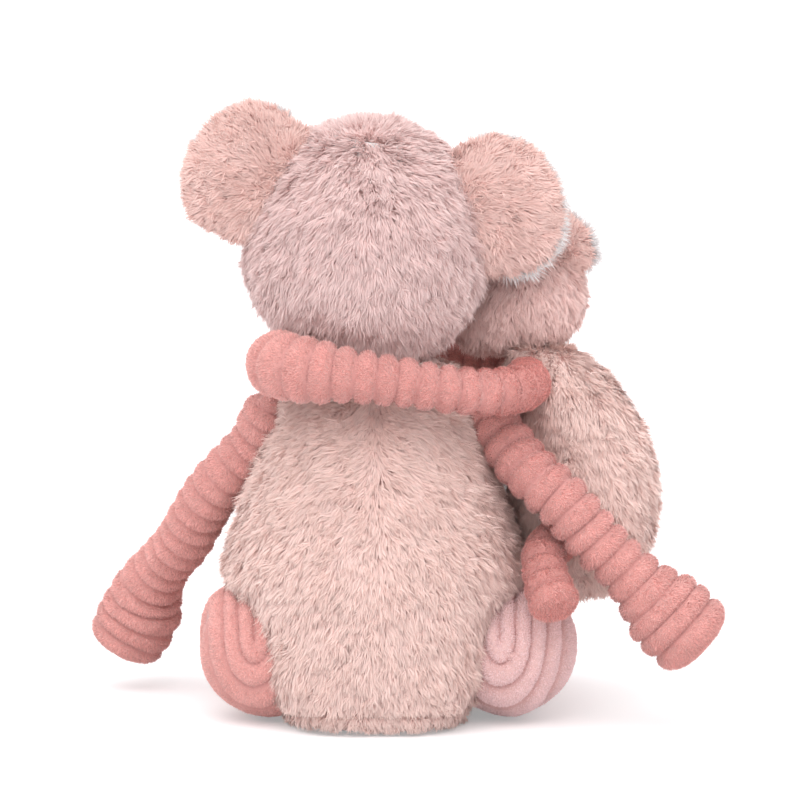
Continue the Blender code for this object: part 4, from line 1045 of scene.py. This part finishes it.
def limb_stations(limb, pitch):
    """Place, heading, radius and run of each ring along a limb, root to paw's end."""
    corners = [Vector([s * r for s, r in zip(row, limb["reach"])]) for row in limb["path"]]
    path = Path(corners)
    ball, tube, paw = [radius - NAP_INSET for radius in limb["radii"]]
    shares, values = zip(*limb["swell"])
    start = (path.points[1] - path.points[0]).normalized()
    stations = []
    step = 7 if ball < 0.02 else 2
    for degrees in range(6, 90, step):
        angle = math.radians(degrees)
        run = -ball * math.cos(angle)
        stations.append((start * run, start, ball * math.sin(angle), run))

    def radius_at(run):
        swell = float(np.interp(run / path.length, shares, values))
        return max(tube + swell * (paw - tube), math.sqrt(max(0.0, ball**2 - run**2)))

    count = int(path.length / RING_STEP)
    for k in range(count + 1):
        run = path.length * k / count
        window = [radius_at(min(max(run + d, 0), path.length)) for d in (-0.004, -0.002, 0, 0.002, 0.004)]
        stations.append((path.at(run), path.heading(run), sum(window) / 5, run))
    last = stations[-1][2]
    end, heading = path.points[-1], path.heading(path.length)
    crest = (math.ceil(path.length / pitch - 0.5) + 0.5) * pitch
    for k in range(1, CAP_RINGS + 1):
        t = k / 12.6
        forward = last * 0.50 * math.sin(t * math.pi / 2)
        run = min(path.length + forward, crest)
        stations.append((end + heading * forward, heading, last * math.cos(t * math.pi / 2) ** 0.62, run))
    return stations


def limb_skin(name, limb, pitch, sides):
    """A limb's skin with the run of its ribs stored on it."""
    root = Vector(limb["root"])
    stations = limb_stations(limb, pitch)
    heading = stations[0][1]
    across = heading.orthogonal().normalized()
    rings, runs, flows = [], [], []
    for place, ahead, radius, run in stations:
        across = (across - ahead * across.dot(ahead)).normalized()
        other = ahead.cross(across)
        ring = []
        for k in range(sides):
            angle = math.tau * k / sides
            ring.append(root + place + (across * math.cos(angle) + other * math.sin(angle)) * radius)
            runs.append(run)
            flows.append(tuple(ahead))
        rings.append(ring)
    mesh = mesh_of_rings(name, rings)
    if "corners" in limb:
        shape_hip(mesh, limb)
    runs += [stations[0][3], stations[-1][3]]
    flows += [tuple(stations[0][1]), tuple(stations[-1][1])]
    if "dart" in limb:
        runs = hip_runs(mesh, limb, runs)
    put_values(mesh, "run", runs)
    put_values(mesh, "flow", flows, "FLOAT_VECTOR")
    return mesh


def shape_hip(mesh, limb):
    """Makes a hip's outer side squarer or rounder than a ball, above and below its middle."""
    root = Vector(limb["root"])
    side = -1 if root.x < 0 else 1
    for vertex in mesh.vertices:
        local = vertex.co - root
        across = side * local.x
        flat = math.hypot(local.x, local.z)
        if across <= 0 or flat < 1e-6:
            continue
        power = limb["corners"][0] if local.z > 0 else limb["corners"][1]
        cosine, sine = across / flat, abs(local.z) / flat
        stretch = (cosine**power + sine**power) ** (-1 / power)
        blend = min(1, max(0, 1 - (local.y - 0.012) / 0.020))
        grown = 1 + (stretch - 1) * blend
        vertex.co = root + Vector((local.x * grown, local.y, local.z * grown))


def nap_skin(mesh):
    """A copy of a ribbed skin that says where its nap is long, on the ribs, and paints shade on the nap between
    them.
    """
    skin = mesh.copy()
    ribs = np.empty(len(skin.vertices), dtype=np.float32)
    skin.attributes["rib"].data.foreach_get("value", ribs)
    put_values(skin, "pile", 0.45 + 0.55 * ribs)
    put_values(skin, "cover", np.clip((ribs - 0.42) / 0.25, 0.0, 1.0))
    put_values(skin, "painted_shade_factor", 0.15 + 0.85 * ribs)
    put_values(skin, "sector", [0] * len(skin.polygons), "INT", "FACE")
    return skin


def hip_runs(mesh, limb, runs):
    """On a hip, ribs are nested round the dart: upright above it and curved below it."""
    root = Vector(limb["root"])
    dart_x, dart_z = limb["dart"]
    side = -1 if root.x < 0 else 1
    edge = limb["radii"][0] - side * dart_x
    mixed = []
    for vertex, run in zip(mesh.vertices, runs):
        local = vertex.co - root
        level = local.x - dart_x
        drop = min(0.0, local.z - dart_z)
        nested = math.hypot(level, drop * NEST_DROP_SHARE)
        blend = min(1, max(0, (local.y + 0.010) / 0.018))
        blend = blend * blend * (3 - 2 * blend)
        mixed.append(nested * (1 - blend) + (edge + run) * blend)
    return mixed


# ---------------------------------------------------------------- pieces


STORE = {}


def shared(scene):
    """Materials, trees and the tuft, made once."""
    if not STORE:
        STORE["materials"] = make_materials(scene)
        STORE["fur_tree"] = grow_tree()
        STORE["rib_tree"] = rib_tree()
        STORE["tuft"] = tuft_object()
        STORE["nap_tuft"] = nap_object()
    return STORE


def furred(
    scene, name, mesh, body, material, backing, node, flow_at, pile_at, sectors, middle, seed,
    length=1.0, rise=0.55,
):
    """A stuffed furry form: its backing skin, and its fur in one or more pieces."""
    fur, store = scene.koala_fur, shared(scene)
    comb(mesh, flow_at, pile_at, sectors, middle)
    for sector in range(sectors):
        values = {
            "Tuft": store["tuft"],
            "Sector": sector,
            "Density": fur.density,
            "Clump density": FUR_CLUMPS,
            "Length": fur.length * length,
            "Width": fur.width,
            "Rise": rise,
            "Clumping": fur.clump,
            "Jitter": FUR_JITTER,
            "Seed": seed + sector,
            "Material": store["materials"][material],
        }
        tufts = run_tree(mesh.copy(), store["fur_tree"], values)
        label = f"{name}_fur" if sectors == 1 else f"{name}_fur_{sector + 1}"
        new_piece(label, tufts, body, None, None)
    for layer in ("flow", "pile", "cover", "painted_shade_factor", "sector"):
        mesh.attributes.remove(mesh.attributes[layer])
    new_piece(f"{name}_backing", mesh, body, store["materials"][backing], node)


def swell(mesh, middle, shift, reach):
    """Draws a soft bulge out of a skin round a middle point."""
    middle, shift = Vector(middle), Vector(shift)
    for vertex in mesh.vertices:
        near = max(0.0, 1 - (vertex.co - middle).length / reach)
        vertex.co += shift * (near * near * (3 - 2 * near))


class KOALA_OT_bodies(bpy.types.Operator):
    """Fur both bodies and the base panel"""

    bl_idname = "koala.bodies"
    bl_label = "Furry bodies"

    def execute(self, context):
        scene = context.scene
        inset = scene.koala_fur.inset
        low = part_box("body_cover")[0].z
        skin = soft_skin(
            "body", BODY_ROWS, (0, 0, low + BODY_FOOT_CLEARANCE),
            (NECK_HEIGHT - low, BODY_HALF_WIDTH, BODY_HALF_DEPTH), inset, square=(1.4, 0.30),
        )
        furred(
            scene, "body", skin, "body", "fur", "backing", "body_cover", body_flow, body_pile, 4,
            Vector(), seed=20,
        )
        panel = soft_skin(
            "panel", PANEL_ROWS, PANEL_FOOT, (PANEL_HEIGHT, BODY_HALF_WIDTH, BODY_HALF_DEPTH), PANEL_INSET,
            lumps=0.0006, square=(1.2, 5),
        )
        furred(
            scene, "base_panel", panel, "body", "fur", "backing", "base_panel", panel_flow,
            panel_pile, 1, Vector(), seed=30, length=0.8, rise=0.3,
        )
        skin = soft_skin(
            "cub_body", CUB_BODY_ROWS, CUB_BODY_FOOT, CUB_BODY_SIZE, inset, CUB_BODY_LEAN, sides=60
        )
        swell(skin, *CUB_SHOULDER_SWELL)
        furred(
            scene, "cub_body", skin, "body", "fur", "backing", "cub_body_cover", cub_body_flow,
            cub_body_pile, 2, Vector(CUB_BODY_MIDDLE), seed=40,
        )
        return {"FINISHED"}


class KOALA_OT_heads(bpy.types.Operator):
    """Fur both heads"""

    bl_idname = "koala.heads"
    bl_label = "Furry heads"

    def execute(self, context):
        scene = context.scene
        inset = scene.koala_fur.inset
        place = Matrix.Translation(HEAD_CENTRE) @ Matrix.Rotation(HEAD_ROLL, 4, "Y")
        size = (HEAD_RADIUS - inset, HEAD_RADIUS, HEAD_HALF_DEPTH)
        skin = soft_skin("head", HEAD_ROWS, (0, 0, 0), size, inset, matrix=place)
        for vertex in skin.vertices:
            vertex.co.z = max(vertex.co.z, NECK_HEIGHT + HEAD_SEAT_GAP)
        furred(
            scene, "head", skin, "head", "head_fur", "backing", "head_cover", head_flow,
            face_pile("head"), 3, HEAD_CENTRE, seed=50,
        )
        place = Matrix.Translation(CUB_HEAD_CENTRE) @ Matrix.Rotation(CUB_HEAD_YAW, 4, "Z")
        size = (CUB_HEAD_RADIUS - inset, CUB_HEAD_RADIUS, CUB_HEAD_RADIUS)
        skin = soft_skin("cub_head", BALL_ROWS, (0, 0, 0), size, inset, matrix=place, sides=48)
        swell(skin, *CUB_HEAD_SWELL)
        furred(
            scene, "cub_head", skin, "cub_head", "cub_head_fur", "backing", "cub_head_cover",
            cub_head_flow, face_pile("cub_head"), 1, CUB_HEAD_CENTRE, seed=60, length=0.8,
        )
        return {"FINISHED"}


def ear_side(name, ear, front, inset):
    """One closed half of an ear: a flat face in the ear's middle, and a dome that is its back or its lining."""
    root, outward, up, (_, half_thick, half_height), reach = ear
    tilt, moved, half_width = EAR_TRIMS[name.rsplit("_", 1)[0]]
    tilted = Matrix.Rotation(tilt, 3, "Y")
    root, outward, up = Vector(root) + Vector(moved), tilted @ Vector(outward), tilted @ Vector(up)
    facing = up.cross(outward).normalized()
    if facing.y < 0:
        facing = -facing
    sign = 1 if front else -1
    centre = root + outward * reach
    puff = half_width * (0.42 if front else 0.62)
    drape = half_width * 0.40
    rings = []
    sides, levels = 44, 10
    for n in range(levels + 1):
        angle = math.pi / 2 * n / levels
        ring = []
        for k in range(sides):
            turn = math.tau * k / sides
            cosine, sine = math.cos(turn), math.sin(turn)
            if cosine < 0 and not front:
                cosine, sine = -abs(cosine) ** 0.8, math.copysign(abs(sine) ** 0.8, sine)
            across = (half_width - inset) * math.cos(angle) * cosine
            along = (half_height - inset) * math.cos(angle) * sine
            deep = 0.0002 + (half_thick - inset * 0.45) * math.sin(angle)
            if front:
                across = max(across, -reach)
            else:
                inner = max(0.0, -across / half_width)
                deep += (puff - half_thick) * math.sin(angle) + puff * inner * inner
                across -= drape * inner * inner
            ring.append(centre + outward * across + up * along + facing * sign * deep)
        rings.append(ring)
    return mesh_of_rings(name, rings), centre, facing * sign


class KOALA_OT_ears(bpy.types.Operator):
    """Fur the ears' backs and put white pile on their linings"""

    bl_idname = "koala.ears"
    bl_label = "Ears"

    def execute(self, context):
        scene = context.scene
        for number, (name, ear) in enumerate(EARS.items()):
            small = name.startswith("cub")
            root = Vector(ear[0]) - Vector(ear[1]) * (0.010 if small else 0.018)
            for front in (False, True):
                part = "lining" if front else "back"
                inset = 0.0022 if small else 0.0036
                skin, centre, facing = ear_side(f"{name}_{part}", ear, front, inset)

                def flow_at(place, normal):
                    return (place - root).normalized() + Vector((0, 0, -0.25))

                fringe = Vector(FRINGES.get(name, (0, 0, 0)))

                def pile_at(place, normal):
                    if normal.dot(facing) < -0.6:
                        return 0.0
                    away = (place - centre).normalized()
                    return 1.0 + (0.75 * min(1, max(0, away.dot(fringe) * 1.6)) if front else 0)

                length = (0.72 if small else 0.92) * (0.85 if front else 1.0)
                furred(
                    scene, f"{name}_{part}", skin, name, "lining_fur" if front else "ear_fur",
                    "lining_backing" if front else "backing", f"{name}_{part}",
                    flow_at, pile_at, 1, centre,
                    seed=70 + 2 * number + front, length=length, rise=0.42,
                )
        return {"FINISHED"}


class KOALA_OT_limbs(bpy.types.Operator):
    """Make the ribbed plush arms and legs"""

    bl_idname = "koala.limbs"
    bl_label = "Ribbed arms and legs"

    def execute(self, context):
        scene = context.scene
        plush, store = scene.koala_plush, shared(scene)
        for name, limb in LIMBS.items():
            parent_leg = "dart" in limb
            pitch = plush.pitch * (LEG_PITCH_SHARE if parent_leg else 1.0)
            mesh = limb_skin(name, limb, pitch, LEG_SIDES if parent_leg else LIMB_SIDES)
            material = store["materials"]["pale_ribbed" if name == "right_leg" else "ribbed"]
            values = {"Pitch": pitch, "Depth": plush.depth, "Material": material}
            made = run_tree(mesh, store["rib_tree"], values, ("rib", "flow"))
            nap = run_tree(nap_skin(made), store["fur_tree"], {
                "Tuft": store["nap_tuft"], "Sector": 0, "Clump density": NAP_CLUMPS,
                "Density": plush.nap_density * (LEG_NAP_DENSITY_SHARE if parent_leg else 1.0),
                "Length": plush.nap * (LEG_NAP_LENGTH_SHARE if parent_leg else 1.0), "Width": plush.nap_width,
                "Rise": 1.3, "Clumping": 0.06, "Jitter": 0.6, "Sway": 0.4, "Seed": 90,
                "Material": store["materials"]["pale_nap" if name == "right_leg" else "nap"],
            })
            made.attributes.remove(made.attributes["flow"])
            new_piece(f"{name}_nap", nap, name, None, None)
            new_piece(f"{name}_plush", made, name, None, f"{name}_cover")
        return {"FINISHED"}


class KOALA_OT_faces(bpy.types.Operator):
    """Finish the eyes, noses, washers, stuffing and pellet bag that come from the part"""

    bl_idname = "koala.faces"
    bl_label = "Eyes, noses and inner parts"

    def execute(self, context):
        materials = shared(context.scene)["materials"]
        for name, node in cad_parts.items():
            if node.hide_render:
                continue
            pick = None
            if name.endswith("washer"):
                pick = "washer"
            elif name.endswith("eye"):
                pick = "eye"
            elif name.endswith("nose"):
                pick = "nose"
            elif name.endswith("stuffing"):
                pick = "stuffing"
            elif name == "pellet_bag":
                pick = "bag"
            if pick is None:
                raise RuntimeError(f"{name} is shown but has no finish")
            node.data.materials.clear()
            node.data.materials.append(materials[pick])
        return {"FINISHED"}


class KOALA_OT_stage(bpy.types.Operator):
    """Set up the floor, the light and the camera"""

    bl_idname = "koala.stage"
    bl_label = "Studio"

    def execute(self, context):
        scene = context.scene
        studio = scene.koala_studio
        for name in ("tuft", "nap_tuft"):
            bpy.data.objects.remove(shared(scene)[name], do_unlink=True)
        mesh = bpy.data.meshes.new("floor")
        corners = [(x * FLOOR_REACH, y * FLOOR_REACH, 0) for x, y in ((-1, -1), (1, -1), (1, 1), (-1, 1))]
        mesh.from_pydata(corners, [], [(0, 1, 2, 3)])
        floor = bpy.data.objects.new("floor", mesh)
        scene.collection.objects.link(floor)
        material, tree, shader = new_material("floor", 0.9)
        grain = noise_texture(tree, 3.0)
        shade = tuple(studio.floor)
        pale = mix_colour(tree, grain, (*[c * 0.995 for c in shade], 1), (*shade, 1))
        tree.links.new(pale, shader.inputs["Base Color"])
        shader.inputs["Specular IOR Level"].default_value = 0.0
        ray = tree.nodes.new("ShaderNodeLightPath")
        seen = maths(tree, "MAXIMUM", ray.outputs["Is Camera Ray"], ray.outputs["Is Glossy Ray"])
        seen = maths(tree, "MAXIMUM", seen, ray.outputs["Is Transmission Ray"])
        shader.inputs["Emission Color"].default_value = (1, 1, 1, 1)
        tree.links.new(maths(tree, "MULTIPLY", seen, FLOOR_GLOW), shader.inputs["Emission Strength"])
        mesh.materials.append(material)

        world = bpy.data.worlds.new("studio")
        scene.world = world
        world.use_nodes = True
        sky = world.node_tree
        back = sky.nodes["Background"]
        ray = sky.nodes.new("ShaderNodeLightPath")
        seen = maths(sky, "MAXIMUM", ray.outputs["Is Camera Ray"], ray.outputs["Is Glossy Ray"])
        seen = maths(sky, "MAXIMUM", seen, ray.outputs["Is Transmission Ray"])
        back.inputs["Color"].default_value = (1, 1, 1, 1)
        strength = sky.nodes.new("ShaderNodeMix")
        strength.data_type = "FLOAT"
        sky.links.new(seen, strength.inputs[0])
        strength.inputs[2].default_value = studio.sky
        strength.inputs[3].default_value = 1.0
        sky.links.new(strength.outputs[0], back.inputs["Strength"])

        for name, turn, power, spread in SUNS:
            light = bpy.data.lights.new(name, "SUN")
            light.energy = studio.key * power
            light.angle = math.radians(spread)
            lamp = bpy.data.objects.new(name, light)
            lamp.rotation_euler = [math.radians(a) for a in turn]
            scene.collection.objects.link(lamp)

        scale, distance, rise = METRES_PER_PIXEL, CAMERA_DISTANCE, CAMERA_RISE
        middle = IMAGE_SIDE // 2
        target = Vector(((middle - MIDDLE_COLUMN) * scale, 0, (FLOOR_ROW - middle) * scale / math.cos(rise)))
        camera = bpy.data.cameras.new("camera")
        camera.sensor_width = SENSOR_WIDTH
        camera.lens = SENSOR_WIDTH / (IMAGE_SIDE * scale / distance)
        camera.clip_end = 60
        eye = bpy.data.objects.new("camera", camera)
        eye.location = target + Vector((0, -math.cos(rise), math.sin(rise))) * distance
        eye.rotation_euler = (math.pi / 2 - rise, 0, 0)
        scene.collection.objects.link(eye)
        scene.camera = eye
        scene.view_settings.view_transform = "Standard"
        return {"FINISHED"}


class KOALA_PT_panel(bpy.types.Panel):
    """Lists the toy's settings and the steps that make it"""

    bl_idname = "KOALA_PT_panel"
    bl_label = "Plush koala"
    bl_space_type = "VIEW_3D"
    bl_region_type = "UI"
    bl_category = "Plush koala"

    def draw(self, context):
        layout = self.layout
        for group in (context.scene.koala_fur, context.scene.koala_plush, context.scene.koala_studio):
            for name in group.__annotations__:
                layout.prop(group, name)
        for operator in OPERATORS:
            layout.operator(operator.bl_idname)


SETTINGS = {"koala_fur": FurSettings, "koala_plush": PlushSettings, "koala_studio": StudioSettings}
OPERATORS = (KOALA_OT_bodies, KOALA_OT_heads, KOALA_OT_ears, KOALA_OT_limbs, KOALA_OT_faces, KOALA_OT_stage)


def register():
    for name, group in SETTINGS.items():
        bpy.utils.register_class(group)
        setattr(bpy.types.Scene, name, bpy.props.PointerProperty(type=group))
    for item in (*OPERATORS, KOALA_PT_panel):
        bpy.utils.register_class(item)


def unregister():
    for item in reversed((*OPERATORS, KOALA_PT_panel)):
        bpy.utils.unregister_class(item)
    for name, group in SETTINGS.items():
        delattr(bpy.types.Scene, name)
        bpy.utils.unregister_class(group)


def main():
    """Makes every piece and the studio."""
    register()
    bpy.ops.koala.bodies()
    bpy.ops.koala.heads()
    bpy.ops.koala.ears()
    bpy.ops.koala.limbs()
    bpy.ops.koala.faces()
    bpy.ops.koala.stage()


if __name__ == "__main__":
    main()
